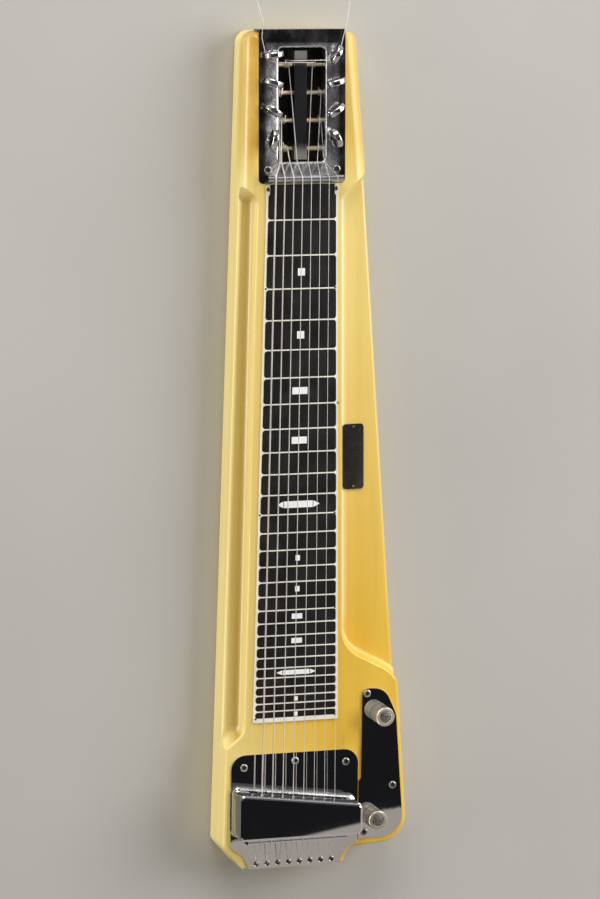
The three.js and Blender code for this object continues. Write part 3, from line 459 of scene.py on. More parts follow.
def lacquered_ash():
    """Ash under yellowed lacquer: cream on walls and edges, amber on the playing face."""
    material, tree, base = shader("lacquered_ash")
    x, y, z = split(tree)
    broad = noise(tree, 42, detail=4, distortion=0.5, along=0.03)
    fine = noise(tree, 800, detail=3, roughness=0.7, along=0.012)
    cloud = noise(tree, 9, detail=2, along=0.3)
    grain = ramp(
        tree,
        broad,
        (0.25, colour(237, 214, 130)),
        (0.5, colour(245, 226, 149)),
        (0.78, colour(251, 236, 167)),
    )
    pores = ramp(tree, fine, (0.34, grey(0.92)), (0.5, grey(1.0)))
    tone = mixed(tree, 0.5, grain, pores, "MULTIPLY")
    warmth = ramp(tree, cloud, (0.3, colour(252, 236, 196)), (0.7, colour(255, 250, 238)))
    tone = mixed(tree, 0.5, tone, warmth, "MULTIPLY")

    # The lacquer deepens towards the tail and the control side
    face = math_node(tree, "MAXIMUM", spread(tree, z, *TOP_FACE), spread(tree, x, *CONTROL_EDGE))
    depth = times(tree, spread(tree, y, *HEAD_TO_TAIL), spread(tree, x, *LEFT_TO_RIGHT))
    depth = math_node(tree, "ADD", depth, times(tree, cloud, 0.12))
    amber = ramp(tree, depth, (0.05, colour(255, 250, 236)), (0.95, colour(250, 224, 132)))
    tone = tinted(tree, times(tree, face, spread(tree, z, *WALL_FOOT)), tone, amber)

    # The trough of the left step is tinted dark olive: painted shade on its left-facing wall and
    # cove
    half_at_nut = (BOARD_HALF + BOARD_FLARE * NUT_Y) * MM
    half_board = math_node(tree, "MULTIPLY_ADD", y, -BOARD_FLARE, half_at_nut)
    from_left_edge = math_node(tree, "ADD", x, half_board)
    from_right_edge = math_node(tree, "SUBTRACT", x, half_board)
    trough_painted_shade = times(
        tree,
        band(tree, from_left_edge, *TROUGH_WIDTH),
        band(tree, z, *TROUGH_HEIGHT),
        spread(tree, y, *TROUGH_END),
    )
    tone = tinted(tree, trough_painted_shade, tone, (0.6, 0.49, 0.25))

    # It is amber beside the tuner pan, with darker patches of painted shade on its left
    beside_pan = times(tree, spread(tree, y, *BESIDE_PAN), spread(tree, z, *BESIDE_PAN_FOOT))
    painted_shade_patches = spread(tree, noise(tree, 34, detail=2), 0.3, 0.62)
    painted_shade_patches = times(tree, band(tree, x, *LEFT_OF_PAN), beside_pan, painted_shade_patches)
    tone = tinted(tree, beside_pan, tone, (0.86, 0.76, 0.48))
    tone = tinted(tree, painted_shade_patches, tone, (0.8, 0.64, 0.36))

    # Streaks of dirt lie beside the control plate
    streaks = noise(tree, 130, detail=4, roughness=0.7, along=0.05)
    stained = times(
        tree,
        band(tree, x, *STAIN_WIDTH),
        times(tree, spread(tree, y, *STAIN_START), spread(tree, streaks, 0.42, 0.62)),
    )
    tone = tinted(tree, stained, tone, (0.74, 0.52, 0.26))

    # The cove right of the fretboard is painted pale: painted light on its right-facing wall
    painted_light_on_cove = times(
        tree,
        band(tree, from_right_edge, *COVE_WIDTH),
        spread(tree, z, *COVE_TOP),
        band(tree, y, *COVE_LENGTH),
    )
    tone = mixed(tree, times(tree, painted_light_on_cove, 0.75), tone, colour(252, 240, 190))

    # Under the pan and in the bores the wood is painted near black: painted shade in these deep
    # recesses
    pocket = times(
        tree,
        math_node(tree, "COMPARE", x, 0.0, POCKET_HALF[0]),
        math_node(tree, "COMPARE", y, POCKET_MIDDLE, POCKET_HALF[1]),
        math_node(tree, "GREATER_THAN", z, POCKET_FLOOR),
    )
    bores = times(
        tree,
        math_node(tree, "COMPARE", x, 0.0, BORES_HALF[0]),
        math_node(tree, "COMPARE", y, ANCHOR_Y * MM, BORES_HALF[1]),
        spread(tree, z, *BORES_FLOOR),
    )
    painted_recess_shade = math_node(tree, "MAXIMUM", pocket, bores)
    tree.links.new(mixed(tree, painted_recess_shade, tone, colour(26, 19, 12)), base.inputs["Base Color"])
    rough = ramp(tree, noise(tree, 40, detail=3), (0.3, grey(0.3)), (0.7, grey(0.42)))
    tree.links.new(rough, base.inputs["Roughness"])
    base.inputs["Coat Weight"].default_value = 0.35
    base.inputs["Coat Roughness"].default_value = 0.2
    bumped(tree, base, fine, 0.04, 0.0001)
    return material


# Where the pickup cover's left wall begins, and the painted shade on it, in metres
COVER_WALL_PAINTED_SHADE = (-0.0554, -0.0562)


def plated(name, tint, low, high, spots=0.0, worn=None, lean=0.0, twist=0.0):
    """Polished or satin plate with faint smears, and dull spots where it has aged.

    Lean tips what it mirrors, as on a cover that isn't quite level, and twist lets
    the lean change across the instrument. With a lean, the cover's left wall is also
    painted darker: painted shade over what it mirrors.
    """
    material, tree, base = metal_shader(name)
    smear = noise(tree, 26, detail=6, roughness=0.65, along=0.4)
    rough = ramp(tree, smear, (0.3, grey(low)), (0.72, grey(high)))
    if spots:
        speck = noise(tree, 420, detail=3, roughness=0.8)
        dull = ramp(tree, speck, (0.62, grey(0.0)), (0.72, grey(spots)))
        rough = mixed(tree, 1.0, rough, dull, "ADD")
    tree.links.new(rough, base.inputs["Roughness"])
    aged = worn or tuple(c * 0.86 for c in tint)
    face = ramp(tree, smear, (0.25, aged), (0.6, tint))
    if lean:
        x, y = split(tree)[:2]
        # The left wall is painted darker: painted shade over the wood it mirrors
        face = tinted(tree, spread(tree, x, *COVER_WALL_PAINTED_SHADE), face, grey(0.42))
        slope = math_node(tree, "MULTIPLY_ADD", x, -twist, -1.0)
        bumped(tree, base, times(tree, y, slope), 1.0, lean)
    else:
        bumped(tree, base, smear, 0.02, 0.0003)
    tree.links.new(face, base.inputs["Base Color"])
    return material


# The tuner pan across, from its window to its outer edge, and along, past the window, in metres;
# the rails and the part past the window get painted dark reflection
PAN_RAIL = (0.0245, 0.036)
PAN_ROLL = (0.036, 0.0225)
PAST_WINDOW = ((NUT_Y + 113) * MM, (NUT_Y + 119) * MM)


def pan_chrome():
    """Scratched plate that rolls down into the window, with painted dark reflection past it and at
    its outer edges.
    """
    material, tree, base = metal_shader("pan_chrome")
    x, y = split(tree)[:2]
    smear = noise(tree, 70, detail=6, roughness=0.7, along=0.5)
    speck = noise(tree, 640, detail=4, roughness=0.8)
    from_middle = math_node(tree, "ABSOLUTE", x)
    painted_dark_reflection = math_node(
        tree, "MAXIMUM", spread(tree, from_middle, *PAN_RAIL), spread(tree, y, *PAST_WINDOW)
    )
    # The painted dark reflection and the smears together set the tone
    worn = math_node(tree, "ADD", painted_dark_reflection, times(tree, smear, 0.35))
    tone = ramp(
        tree, worn, (0.2, (0.9, 0.89, 0.9)), (0.75, (0.5, 0.49, 0.51)), (1.1, (0.1, 0.095, 0.1))
    )
    scratched = ramp(tree, speck, (0.5, grey(1.0)), (0.64, grey(0.6)))
    tree.links.new(mixed(tree, 0.7, tone, scratched, "MULTIPLY"), base.inputs["Base Color"])
    rough = ramp(tree, smear, (0.35, grey(0.14)), (0.7, grey(0.36)))
    tree.links.new(rough, base.inputs["Roughness"])
    # The roll is too shallow for the plate's own faces: its slope grows towards the window
    inwards = spread(tree, from_middle, *PAN_ROLL)
    roll = times(tree, math_node(tree, "POWER", inwards, 2.0), -1.0)
    wavy = math_node(tree, "ADD", roll, times(tree, smear, 0.06))
    bumped(tree, base, wavy, 1.0, 0.00056)
    return material


def stamped_face():
    """The pitted, darkened metal in the middle of a knob's top."""
    material, tree, base = metal_shader("knob_face")
    pits = noise(tree, 900, detail=3, roughness=0.7)
    tone = ramp(tree, pits, (0.42, (0.1, 0.095, 0.08)), (0.62, (0.46, 0.43, 0.37)))
    rough = ramp(tree, pits, (0.4, grey(0.55)), (0.66, grey(0.3)))
    tree.links.new(tone, base.inputs["Base Color"])
    tree.links.new(rough, base.inputs["Roughness"])
    bumped(tree, base, pits, 0.6, 0.0003)
    return material


# The centre bar: its middle, and where its ends begin to dull, in metres
BAR_MIDDLE = (NUT_Y + 65) * MM
BAR_ENDS = (0.032, 0.042)


def bar_painted_dark():
    """Plate painted near black as a painted dark reflection, lighter and duller towards its ends.
    """
    material, tree, base = metal_shader("bar_painted_dark")
    y = split(tree)[1]
    smear = noise(tree, 60, detail=5, roughness=0.7, along=0.2)
    from_middle = math_node(tree, "ABSOLUTE", math_node(tree, "SUBTRACT", y, BAR_MIDDLE))
    # The dark middle is painted dark reflection; the ends turn lighter and rougher
    ends_and_painted_reflection = math_node(tree, "ADD", spread(tree, from_middle, *BAR_ENDS), times(tree, smear, 0.3))
    tone = ramp(tree, ends_and_painted_reflection, (0.15, (0.075, 0.075, 0.08)), (1.0, (0.27, 0.255, 0.23)))
    rough = ramp(tree, ends_and_painted_reflection, (0.2, grey(0.27)), (1.0, grey(0.5)))
    tree.links.new(tone, base.inputs["Base Color"])
    tree.links.new(rough, base.inputs["Roughness"])
    bumped(tree, base, smear, 0.1, 0.0002)
    return material


def painted(name, tint, rough, grain=500, depth=0.08):
    """A dull coat with faint clouds and a fine grain."""
    material, tree, base = shader(name)
    cloud = noise(tree, 60, detail=5)
    pale = tuple(min(1, c * 1.18 + 0.004) for c in tint)
    tree.links.new(ramp(tree, cloud, (0.3, tint), (0.75, pale)), base.inputs["Base Color"])
    dull = ramp(tree, cloud, (0.3, grey(rough * 0.85)), (0.7, grey(rough * 1.2)))
    tree.links.new(dull, base.inputs["Roughness"])
    bumped(tree, base, noise(tree, grain, detail=2), depth, 0.00005)
    return material


def string_wire(name, tint, windings):
    """Drawn wire, with the fine ribs of a wrap where the string is wound."""
    material, tree, base = metal_shader(name)
    dirt = noise(tree, 90, detail=4, along=0.2)
    darker = tuple(c * 0.72 for c in tint)
    tree.links.new(ramp(tree, dirt, (0.3, darker), (0.65, tint)), base.inputs["Base Color"])
    rough = ramp(tree, dirt, (0.3, grey(0.6)), (0.7, grey(0.46)))
    tree.links.new(rough, base.inputs["Roughness"])
    if windings:
        ribs = node(
            tree, "ShaderNodeTexWave", Scale=windings, wave_type="BANDS", bands_direction="Y"
        )
        tree.links.new(coordinates(tree), ribs.inputs["Vector"])
        bumped(tree, base, ribs.outputs["Fac"], 0.3, 0.0001)
    else:
        bumped(tree, base, dirt, 0.05, 0.0001)
    return material


# The finishes

POLISH = {"tint": (0.84, 0.83, 0.84), "low": 0.004, "high": 0.013, "spots": 0.012}
ASH = lacquered_ash()
CHROME = plated("chrome_plate", **POLISH)
COVER_CHROME = plated("cover_chrome", **POLISH, lean=0.0016, twist=-3.3)
NUT_CHROME = plated("nut_chrome", (0.62, 0.61, 0.62), 0.1, 0.2, spots=0.2)
HOUSING_CHROME = plated("housing_chrome", (0.92, 0.9, 0.88), 0.14, 0.24, spots=0.1)
PAN_CHROME = pan_chrome()
BAR_PAINTED_DARK = bar_painted_dark()
NICKEL = plated("nickel", (0.66, 0.65, 0.64), 0.06, 0.16, spots=0.15)
KNOB_NICKEL = plated(
    "knob_nickel", (0.88, 0.83, 0.72), 0.3, 0.46, spots=0.3, worn=(0.5, 0.44, 0.32)
)
KNOB_FACE = stamped_face()
BRASS = plated("old_brass", (0.86, 0.74, 0.52), 0.3, 0.5, spots=0.25, worn=(0.5, 0.38, 0.2))
TINNED = plated("tinned_steel", (0.52, 0.52, 0.51), 0.3, 0.45, spots=0.15)
SCREW_STEEL = plated(
    "screw_steel", (0.55, 0.52, 0.47), 0.2, 0.36, spots=0.2, worn=(0.3, 0.27, 0.22)
)
BADGE_METAL = plated("badge_metal", (0.16, 0.15, 0.14), 0.22, 0.36, spots=0.2)
COPPER = plated("copper_wire", (0.24, 0.11, 0.065), 0.3, 0.45)
WOUND_WIRE = string_wire("wound_string", (0.84, 0.79, 0.73), 620)
PLAIN_WIRE = string_wire("plain_string", (0.9, 0.87, 0.83), 0)
BLACK_PAINT = painted("black_enamel", colour(11, 9, 6), 0.36)
LINE_PAINT = painted("line_enamel", colour(236, 231, 217), 0.42)
MARK_PAINT = painted("mark_enamel", colour(252, 249, 241), 0.42)
BOBBIN = painted("bobbin_fibre", colour(26, 25, 24), 0.6)
WAXED = painted("waxed_paper", colour(170, 118, 62), 0.45)
CLOTH = painted("cloth_covered_wire", colour(196, 178, 132), 0.85, grain=2600, depth=0.5)

FINISHES = {
    "body": ASH,
    "fretboard": LINE_PAINT,
    "tuner_pan": PAN_CHROME,
    "centre_bar": BAR_PAINTED_DARK,
    "nut": NUT_CHROME,
    "bridge_plate": CHROME,
    "control_plate": CHROME,
    "pickup_housing": HOUSING_CHROME,
    "pickup_cover": COVER_CHROME,
    "pickup_coil": BOBBIN,
    "bridge": CHROME,
    "volume_pot": TINNED,
    "tone_pot": TINNED,
    "volume_knob": KNOB_NICKEL,
    "tone_knob": KNOB_NICKEL,
    "output_jack": CHROME,
    "capacitor": WAXED,
    "badge": BADGE_METAL,
    "tuner_strip_left": TINNED,
    "tuner_strip_right": TINNED,
}
SOFTENED = ("tuner_pan", "pickup_cover", "nut", "bridge", "output_jack")
WOUND_STRINGS = 5

for name, obj in nodes.items():
    if name in FINISHES:
        finish = FINISHES[name]
    elif "screw" in name:
        finish = SCREW_STEEL
    elif "_post_" in name or "_gear_" in name:
        finish = BRASS
    elif "_button_" in name:
        finish = NICKEL
    else:
        finish = WOUND_WIRE if int(name[-1]) <= WOUND_STRINGS else PLAIN_WIRE
    painted_with(obj, finish)
    if name in SOFTENED:
        soft_edges(obj, 50)


# Body: the head's long edges are rounder than the solid's

SHOULDER_RADIUS = 12
HEAD_SIDES = ((-1, 49.0, 0.02145), (1, 50.4, 0.07764))


def shoulder(side, half_at_end, flare):
    """What rounds a long edge of the head: a square bar less a round one, laid on the edge."""
    radius, spare, length, middle_y = SHOULDER_RADIUS, 5, 170, 51
    width = radius + spare
    bar = block((width, length, width), (side * width / 2, 0, width / 2))
    cut(bar, drum(radius, -length, length, 96, place=spin(math.pi / 2, "X")))
    half = half_at_end + flare * (HEAD_REACH - middle_y)
    place = shift(side * (half - radius + 0.1), middle_y, 0.03 - radius)
    return set_down(bar, HEAD @ place @ spin(side * math.atan(flare), "Z"))


def edge_of_top(edge, mesh):
    """Edges with both ends on the flat top, which slopes down past the nut."""
    for index in edge.vertices:
        place = mesh.vertices[index].co / MM
        top = WOOD_TOP - max(0, place.y - NUT_Y) * math.tan(HEAD_TILT)
        if abs(place.z - top) > NEAR:
            return False
    return True


body = twin(nodes["body"], Matrix())
choose_all(body)
bpy.ops.mesh.remove_doubles(threshold=0.01 * MM)
bpy.ops.mesh.dissolve_degenerate(threshold=0.01 * MM)
done()
for head_side in HEAD_SIDES:
    cut(body, shoulder(*head_side))
choose(body, "EDGE", edge_of_top)
bpy.ops.mesh.mark_sharp()
done()
finished(body, "lacquered_body", ASH, angle=34, stands_for=["body"])
soft_edges(body, 34).harden_normals = True
even = body.modifiers.new("even_faces", "WEIGHTED_NORMAL")
even.keep_sharp = True


# Fretboard: black fields between the lines, and pale marks in some of them

LINE_HALF = 0.58
FIELD_INSET = 1.5
FIELD_CORNER = 2.6
FIELD_LOW = PLAY_TOP - 0.05
FIELD_TOP = PLAY_TOP + 0.06
MARK_LOW = PLAY_TOP + 0.04
MARK_TOP = PLAY_TOP + 0.12
LAST_FRET = 29

# Width and height of the block marks by fret, and the long bars between two arrows
BLOCKS = {
    (3, 5): (6.4, 6.4),
    (7, 9): (13.6, 6.0),
    (15, 17): (4.0, 4.8),
    (19, 21): (9.6, 4.6),
    (27, 29): (3.4, 3.9),
}
LONG_BARS = ((12, 12.9, 18.8, 5.8), (24, 12.0, 17.6, 4.2))
ARROW_GAP = 0.6


def fret(number):
    return NUT_Y - SCALE * (1 - 2 ** (-number / 12))


def middle(number):
    return (fret(number - 1) + fret(number)) / 2


def field(high, low):
    """One black field between two lines."""

    def half(y):
        return BOARD_HALF + BOARD_FLARE * (NUT_Y - y) - FIELD_INSET

    return panel(half(low), half(high), low, high, FIELD_LOW, FIELD_TOP, FIELD_CORNER)


def mark(number, width, height):
    y = middle(number)
    return panel(
        width / 2, width / 2, y - height / 2, y + height / 2, MARK_LOW, MARK_TOP, 0.3
    )


def arrow(number, inner, outer, height, side):
    """A pointed end beside a long bar: a plate that narrows outwards, turned to its side."""
    plate = panel(height / 2, 0.25, inner, outer, MARK_LOW, MARK_TOP, 0)
    return set_down(plate, shift(0, middle(number), 0) @ spin(-side * math.pi / 2, "Z"))


# The first field is the one that the nut stands on
fields = [panel(28.9, 28.8, NUT_Y - 13, NUT_Y - 1.85, FIELD_LOW, PLAY_TOP + 0.05, 0.6)]
fields.append(field(NUT_Y - 9.8, fret(1) + LINE_HALF))
for number in range(2, LAST_FRET + 1):
    fields.append(field(fret(number - 1) - LINE_HALF, fret(number) + LINE_HALF))
finished(merged(fields), "fretboard_fields", BLACK_PAINT)

marks = [mark(number, *size) for numbers, size in BLOCKS.items() for number in numbers]
for number, half, tip, height in LONG_BARS:
    marks.append(mark(number, 2 * half, height))
    marks += [arrow(number, half + ARROW_GAP, tip, height, side) for side in (1, -1)]
finished(merged(marks), "fretboard_marks", MARK_PAINT)


# Screws, nails and pins

# Across and from the bridge line, in millimetres
PLATE_SCREWS = {
    "bridge_plate_screw_1": (-46.4, 65),
    "bridge_plate_screw_2": (0, 68.7),
    "bridge_plate_screw_3": (46.4, 65),
    "control_plate_screw_1": (65, 124.5),
    "control_plate_screw_2": (89.8, 41.4),
    "control_plate_screw_3": (63.9, 0.7),
}
PAN_SCREWS = {"pan_screw_1": (-30.7, 10.6), "pan_screw_2": (30.7, 10.6)}
SEAT = 0.05
SCREW_REACH = 8.2

# Across and from the nut
NAILS = [
    (-32.0, -90.5), (31.0, -90.8), (35.0, -190.2), (-35.1, -285.5),
    (33.6, -285.9), (35.2, -369.0), (36.4, -463.8), (-36.8, -464.1),
]
NAIL_INSET = 0.985
BADGE_PINS = [(BADGE_X - 0.35, -213.7), (BADGE_X + 0.35, -266.1)]
BADGE_TOP = WOOD_TOP - STEP_DEPTH + 0.2 + 1.0


def cross_head(radius, height, slot_width, slot_length):
    """A domed screw head on z 0 with a cross sunk in it, and a dark disc down in the cross as
    painted shade.
    """
    head = rim(drum(radius, 0, height, 40), height, height * 0.62, 4)
    cut(head, drum(slot_length * 0.36, height * 0.3, height + 1, 24))
    for turn in (0, math.pi / 2):
        cut(head, block((slot_length, slot_width, height * 1.1), (0, 0, height), turn + 0.4))
    return head, drum(slot_length * 0.35, height * 0.22, height * 0.36, 24)


def pin(x, y, top):
    """A small round head."""
    height = 0.45
    return rim(drum(0.9, top - 0.2, top + height, 20, at=(x, y)), top + height, 0.25)


big_head, big_shade_disc = cross_head(radius=3.25, height=1.45, slot_width=0.9, slot_length=4.4)
shank = rim(drum(1.35, -SCREW_REACH, 0.3, 16), -SCREW_REACH, 0.9, 2)
wood_screw = merged([big_head, shank])
painted_shade_discs = []
screw_places = {
    name: shift(x, BRIDGE_Y + reach, PLAY_TOP + SEAT)
    for name, (x, reach) in PLATE_SCREWS.items()
}
for name, (x, reach) in PAN_SCREWS.items():
    screw_places[name] = HEAD @ shift(x, reach, PAN_TOP + SEAT)
for name, place in screw_places.items():
    screw = twin(wood_screw, place @ spin(rng.uniform(0, math.pi), "Z"))
    finished(screw, f"{name}_head", SCREW_STEEL, stands_for=[name])
    painted_shade_discs.append(twin(big_shade_disc, place))

small_head, small_shade_disc = cross_head(radius=1.9, height=0.7, slot_width=0.5, slot_length=2.6)
small_screws = []
for x in (-30.4, 30.4):
    place = shift(x, NUT_Y - 5.9, PLAY_TOP)
    small_screws.append(twin(small_head, place))
    painted_shade_discs.append(twin(small_shade_disc, place))
for pattern in (wood_screw, big_shade_disc, small_head, small_shade_disc):
    bpy.data.objects.remove(pattern)
# The dark discs are painted shade in the screws' crosses
finished(merged(painted_shade_discs), "screw_recess_shade", BOBBIN)
finished(merged(small_screws), "fretboard_screws", SCREW_STEEL)

nails = [pin(x * NAIL_INSET, NUT_Y + y, PLAY_TOP) for x, y in NAILS]
finished(merged(nails), "fretboard_nails", BADGE_METAL)
badge_pins = [pin(x, NUT_Y + y, BADGE_TOP) for x, y in BADGE_PINS]
finished(merged(badge_pins), "badge_pins", SCREW_STEEL)


# Knobs

# Across and from the bridge line
KNOBS = {"volume": (76.7, 106.4), "tone": (71.3, 14.5)}
KNURL_SIDES = 128
KNURL_DEPTH = 0.955

# Radius, foot and top of a knob's turned parts, from the plate
BARREL = (8.45, 1.0, 16.4)
COLLAR = (7.4, 0.55, 1.3)
SHAFT = (2.95, -6.3, 1.1)
DISC = (5.9, 16.35, 16.6)
WASHER = (6.6, 0, 0.45)

# How far each ring of the knob's top lies inside the last one, and how far above it
TOP_RINGS = ((0.45, 0.5), (1.5, 0.12), (0.25, -0.45), (2.6, -0.2))


def knurled_knob(name, place):
    """A barrel with straight knurls, a turned collar and a dished top with a stamped disc."""
    barrel = drum(*BARREL, KNURL_SIDES)

    def alternate(vertex, mesh):
        turn = math.atan2(vertex.co.y, vertex.co.x) / (2 * math.pi) * KNURL_SIDES
        return round(turn) % 2 == 0 and vertex.co.xy.length > MM

    choose(barrel, "VERT", alternate)
    bpy.ops.transform.resize(value=(KNURL_DEPTH, KNURL_DEPTH, 1))
    done()
    choose(barrel, "FACE", lambda face, mesh: face.normal.z > 0.9)
    for inset, rise in TOP_RINGS:
        bpy.ops.mesh.inset(thickness=inset * MM)
        bpy.ops.transform.translate(value=mm(0, 0, rise))
    done()
    collar = drum(*COLLAR, 64)
    shaft = drum(*SHAFT, 24)
    disc = rim(drum(*DISC, 48, place=place), PLAY_TOP + DISC[2], 0.15, 2)
    finished(disc, f"{name}_knob_disc", KNOB_FACE, body=f"{name}_knob_on_shaft")
    finished(
        set_down(merged([barrel, collar, shaft]), place),
        f"{name}_knurled",
        KNOB_NICKEL,
        body=f"{name}_knob_on_shaft",
        angle=30,
        stands_for=[f"{name}_knob"],
    )


for name, (x, reach) in KNOBS.items():
    place = shift(x, BRIDGE_Y + reach, PLAY_TOP)
    knurled_knob(name, place)
    washer = bored(drum(*WASHER), 3.3, top=2)
    finished(set_down(washer, place), f"{name}_washer", TINNED)


# Tuner buttons

# How far each button is turned at rest, in degrees, from the nut outwards
BUTTON_TURNS = {"left": [81, -33, -18, 7], "right": [-65, 38, 17, 65]}
BUTTON_HEIGHT = PAN_TOP + 2.4 + 6.3
BUTTON_LONG, BUTTON_SHORT, BUTTON_THICK = 8.15, 6.45, 2.7
NECK_LOW = -8.5
FERRULE_THICK = 0.7


def oval_button():
    """An oval pressed button standing on edge, with dished faces and a short neck."""
    button = drum(BUTTON_LONG, -BUTTON_THICK, BUTTON_THICK, 64)
    button.scale = (1, BUTTON_SHORT / BUTTON_LONG, 1)
    set_down(button)
    for side in (1, -1):
        rim(button, side * BUTTON_THICK, 1.5, 5)
    for side in (1, -1):
        choose(button, "FACE", lambda face, mesh: face.normal.z * side > 0.95)
        bpy.ops.mesh.inset(thickness=1.1 * MM)
        bpy.ops.transform.translate(value=mm(0, 0, -0.35 * side))
        bpy.ops.mesh.inset(thickness=1.6 * MM)
        done()
    set_down(button, spin(math.pi / 2, "X"))
    neck = rim(drum(2.5, NECK_LOW, -5.2, 32), NECK_LOW, 0.5, 2)
    return merged([button, neck])


button_pattern = oval_button()
ferrule_pattern = rim(drum(3.5, 0, FERRULE_THICK, 40), FERRULE_THICK, 0.35)
bored(ferrule_pattern, 1.75, top=2, sides=24)
ferrules = []
for side, sign in (("left", -1), ("right", 1)):
    for index, turn in enumerate(BUTTON_TURNS[side]):
        y = POST_START + index * POST_PITCH + WORM_OFFSET
        upright = HEAD @ shift(sign * WORM_PLANE, y, 0)
        turned = upright @ shift(0, 0, BUTTON_HEIGHT) @ spin(math.radians(turn), "Z")
        finished(
            twin(button_pattern, turned),
            f"{side}_button_{index + 1}_oval",
            NICKEL,
            body=f"{side}_worm_button_{index + 1}",
        )
        ferrules.append(twin(ferrule_pattern, upright @ shift(0, 0, PAN_TOP)))
for pattern in (button_pattern, ferrule_pattern):
    bpy.data.objects.remove(pattern)
finished(merged(ferrules), "button_ferrules", NICKEL)


# Pickup and the strings' ends

GAUGES = [1.34, 1.1, 0.9, 0.74, 0.6, 0.48, 0.42, 0.36]
MAGNET_PITCH = 9.7
MAGNET_Y = BRIDGE_Y + 18.8
MAGNET_TOP = PLAY_TOP + 8.7
ANCHOR_PITCH = 9.8
ANCHOR_WIRE = 0.2


def string_x(index, pitch):
    return (index - (len(GAUGES) - 1) / 2) * pitch


magnets = []
for index in range(len(GAUGES)):
    at = (string_x(index, MAGNET_PITCH), MAGNET_Y)
    magnets.append(rim(drum(2.4, PLAY_TOP - 11, MAGNET_TOP, 24, at), MAGNET_TOP, 0.3, 2))
finished(merged(magnets), "pickup_magnets", TINNED)
winding = panel(
    45.9, 45.9, BRIDGE_Y + 10.6, BRIDGE_Y + 27.0, PLAY_TOP - 10.3, PLAY_TOP + 6.7, 2.2
)
finished(winding, "pickup_winding", COPPER)

wraps, eyelets = [], []
for index, gauge in enumerate(GAUGES):
    x = string_x(index, ANCHOR_PITCH)
    coil = wound(gauge / 2 + ANCHOR_WIRE, ANCHOR_WIRE, 5, 3.6)
    wraps.append(set_down(coil, shift(x, ANCHOR_Y, PLAY_TOP - 8.2)))
    eyelet = fresh(
        bpy.ops.mesh.primitive_torus_add,
        major_radius=2.15 * MM,
        minor_radius=0.38 * MM,
        major_segments=28,
        minor_segments=8,
        location=mm(x, ANCHOR_Y, PLAY_TOP + 0.1),
    )
    eyelets.append(set_down(eyelet))
# The wraps take the dark badge metal: painted shade down in the bores
finished(merged(wraps), "string_anchors", BADGE_METAL)
finished(merged(eyelets), "anchor_eyelets", SCREW_STEEL)


# Wiring and jack


def lead(name, points):
    """A covered wire through points, in millimetres."""
    clear()
    bpy.ops.curve.primitive_nurbs_path_add()
    wire = bpy.context.object
    spline = wire.data.splines[0]
    spline.points.add(len(points) - len(spline.points))
    for point, place in zip(spline.points, points):
        point.co = (*mm(*place), 1)
    wire.data.bevel_depth = 0.8 * MM
    wire.data.bevel_resolution = 2
    wire.data.use_fill_caps = True
    pick(wire)
    bpy.ops.object.convert(target="MESH")
    finished(bpy.context.object, name, CLOTH)


lead("coil_lead", [
    (46, BRIDGE_Y + 15, 34.8), (52, BRIDGE_Y + 15, 33.8), (58, BRIDGE_Y + 15, 34.3),
    (65, BRIDGE_Y + 18, 32.8), (66, BRIDGE_Y + 40, 27), (68, BRIDGE_Y + 80, 26),
    (71, BRIDGE_Y + 98, 32),
])
lead("jack_lead", [
    (84, JACK_Y, JACK_HEIGHT), (80, JACK_Y - 2, JACK_HEIGHT), (77, BRIDGE_Y + 50, 22),
    (76, BRIDGE_Y + 34, 25), (76, BRIDGE_Y + 24, 31),
])

# Radius, foot and top of the jack's nut
JACK_NUT = (6.6, 0, 2.2)
jack_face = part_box("output_jack")[1].x / MM
hexagon = bored(drum(*JACK_NUT, 6), 3.6, top=3.2)
set_down(hexagon, shift(jack_face, JACK_Y, JACK_HEIGHT) @ spin(math.pi / 2, "Y"))
finished(hexagon, "jack_nut", NICKEL, angle=30)


# Camera, fitted to the fret lines: its place from the nut, its turn and its focal length in pixels

CAMERA_PLACE = mm(-1067.328, 331.879 + NUT_Y, 3282.260 + PLAY_TOP)
CAMERA_ROWS = (
    (0.9514831, 0.0372656, -0.3054360),
    (0.0128973, 0.9869367, 0.1605913),
    (0.3074305, -0.1567392, 0.9385730),
)
FOCAL_PIXELS = 4083.4
IMAGE_HEIGHT = 899
SENSOR = 36

camera_data = bpy.data.cameras.new("camera")
camera_data.lens = FOCAL_PIXELS / IMAGE_HEIGHT * SENSOR
camera_data.sensor_width = SENSOR
camera_data.clip_end = 50
camera = bpy.data.objects.new("camera", camera_data)
bpy.context.scene.collection.objects.link(camera)
camera.matrix_world = Matrix.Translation(CAMERA_PLACE) @ Matrix(CAMERA_ROWS).to_4x4()
bpy.context.scene.camera = camera


# Floor and light

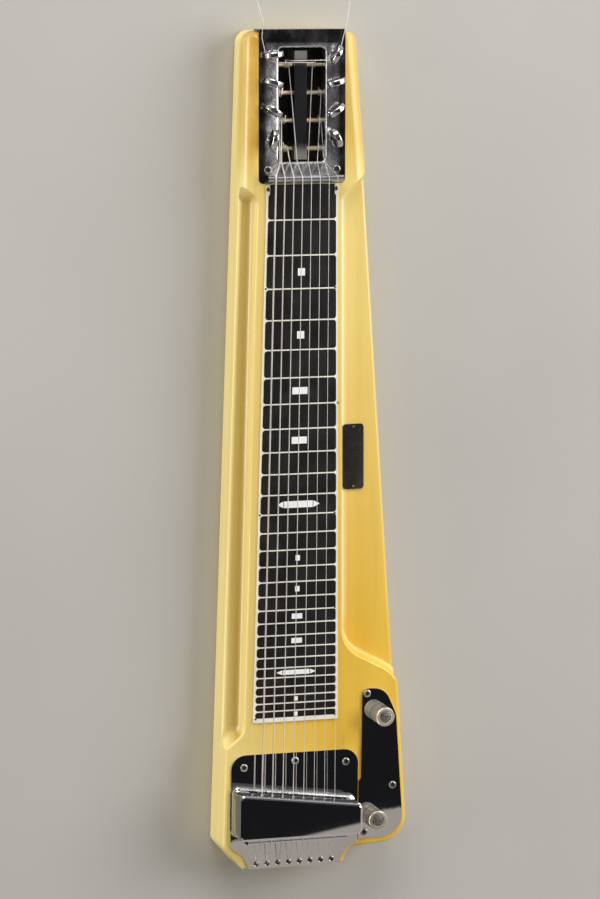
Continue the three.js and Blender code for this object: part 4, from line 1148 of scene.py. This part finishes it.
floor = fresh(bpy.ops.mesh.primitive_plane_add, size=40, location=(0, 0, -0.0002))
floor.name = "floor"
floor_material, floor_tree, floor_base = shader("pale_floor")
floor_tone = ramp(
    floor_tree,
    noise(floor_tree, 3, detail=2),
    (0.3, colour(190, 187, 181)),
    (0.7, colour(196, 193, 187)),
)
floor_tree.links.new(floor_tone, floor_base.inputs["Base Color"])
floor_base.inputs["Roughness"].default_value = 0.9
floor_base.inputs["Specular IOR Level"].default_value = 0.1
floor.data.materials.append(floor_material)


def softbox(name, place, target, size, power):
    light = bpy.data.lights.new(name, "AREA")
    light.shape = "RECTANGLE"
    light.size, light.size_y = size
    light.energy = power
    lamp = bpy.data.objects.new(name, light)
    bpy.context.scene.collection.objects.link(lamp)
    lamp.location = place
    lamp.rotation_mode = "QUATERNION"
    lamp.rotation_quaternion = (Vector(target) - Vector(place)).to_track_quat("-Z", "Y")


softbox("key_light", (2.4, 0.9, 1.8), (0, 0, 0), (2.2, 2.2), 76)
softbox("fill_light", (-0.4, 3.0, 1.5), (0, 0, 0), (2.4, 1.4), 62)
softbox("side_light", (-2.6, 0.2, 0.28), (0, 0, 0.02), (2.0, 0.5), 38)

# What the plates mirror: a dark field overhead that ends in a pale one along a slanting line
PALE = (0.46, 0.42, 0.38)
DARK = (0.012, 0.012, 0.014)
DIM = (0.10, 0.095, 0.10)
HORIZON = grey(0.5)
SLANT = -0.217
PALE_TO_DARK = (-0.3163, -0.3158)
DARK_TO_DIM = (-0.10, 0.0)
OVERHEAD = (0.55, 0.8)

world = bpy.data.worlds.new("studio")
bpy.context.scene.world = world
world.use_nodes = True
sky = world.node_tree
background = next(item for item in sky.nodes if item.type == "BACKGROUND")
east, north, up = split(sky, "Generated")
across = math_node(sky, "MULTIPLY_ADD", east, SLANT, north)
fields_overhead = mixed(sky, spread(sky, across, *PALE_TO_DARK), PALE, DARK)
fields_overhead = mixed(sky, spread(sky, across, *DARK_TO_DIM), fields_overhead, DIM)
sky_tone = mixed(sky, spread(sky, up, *OVERHEAD), HORIZON, fields_overhead)
sky.links.new(sky_tone, background.inputs["Color"])
background.inputs["Strength"].default_value = 0.85

bpy.context.scene.view_settings.view_transform = "Standard"
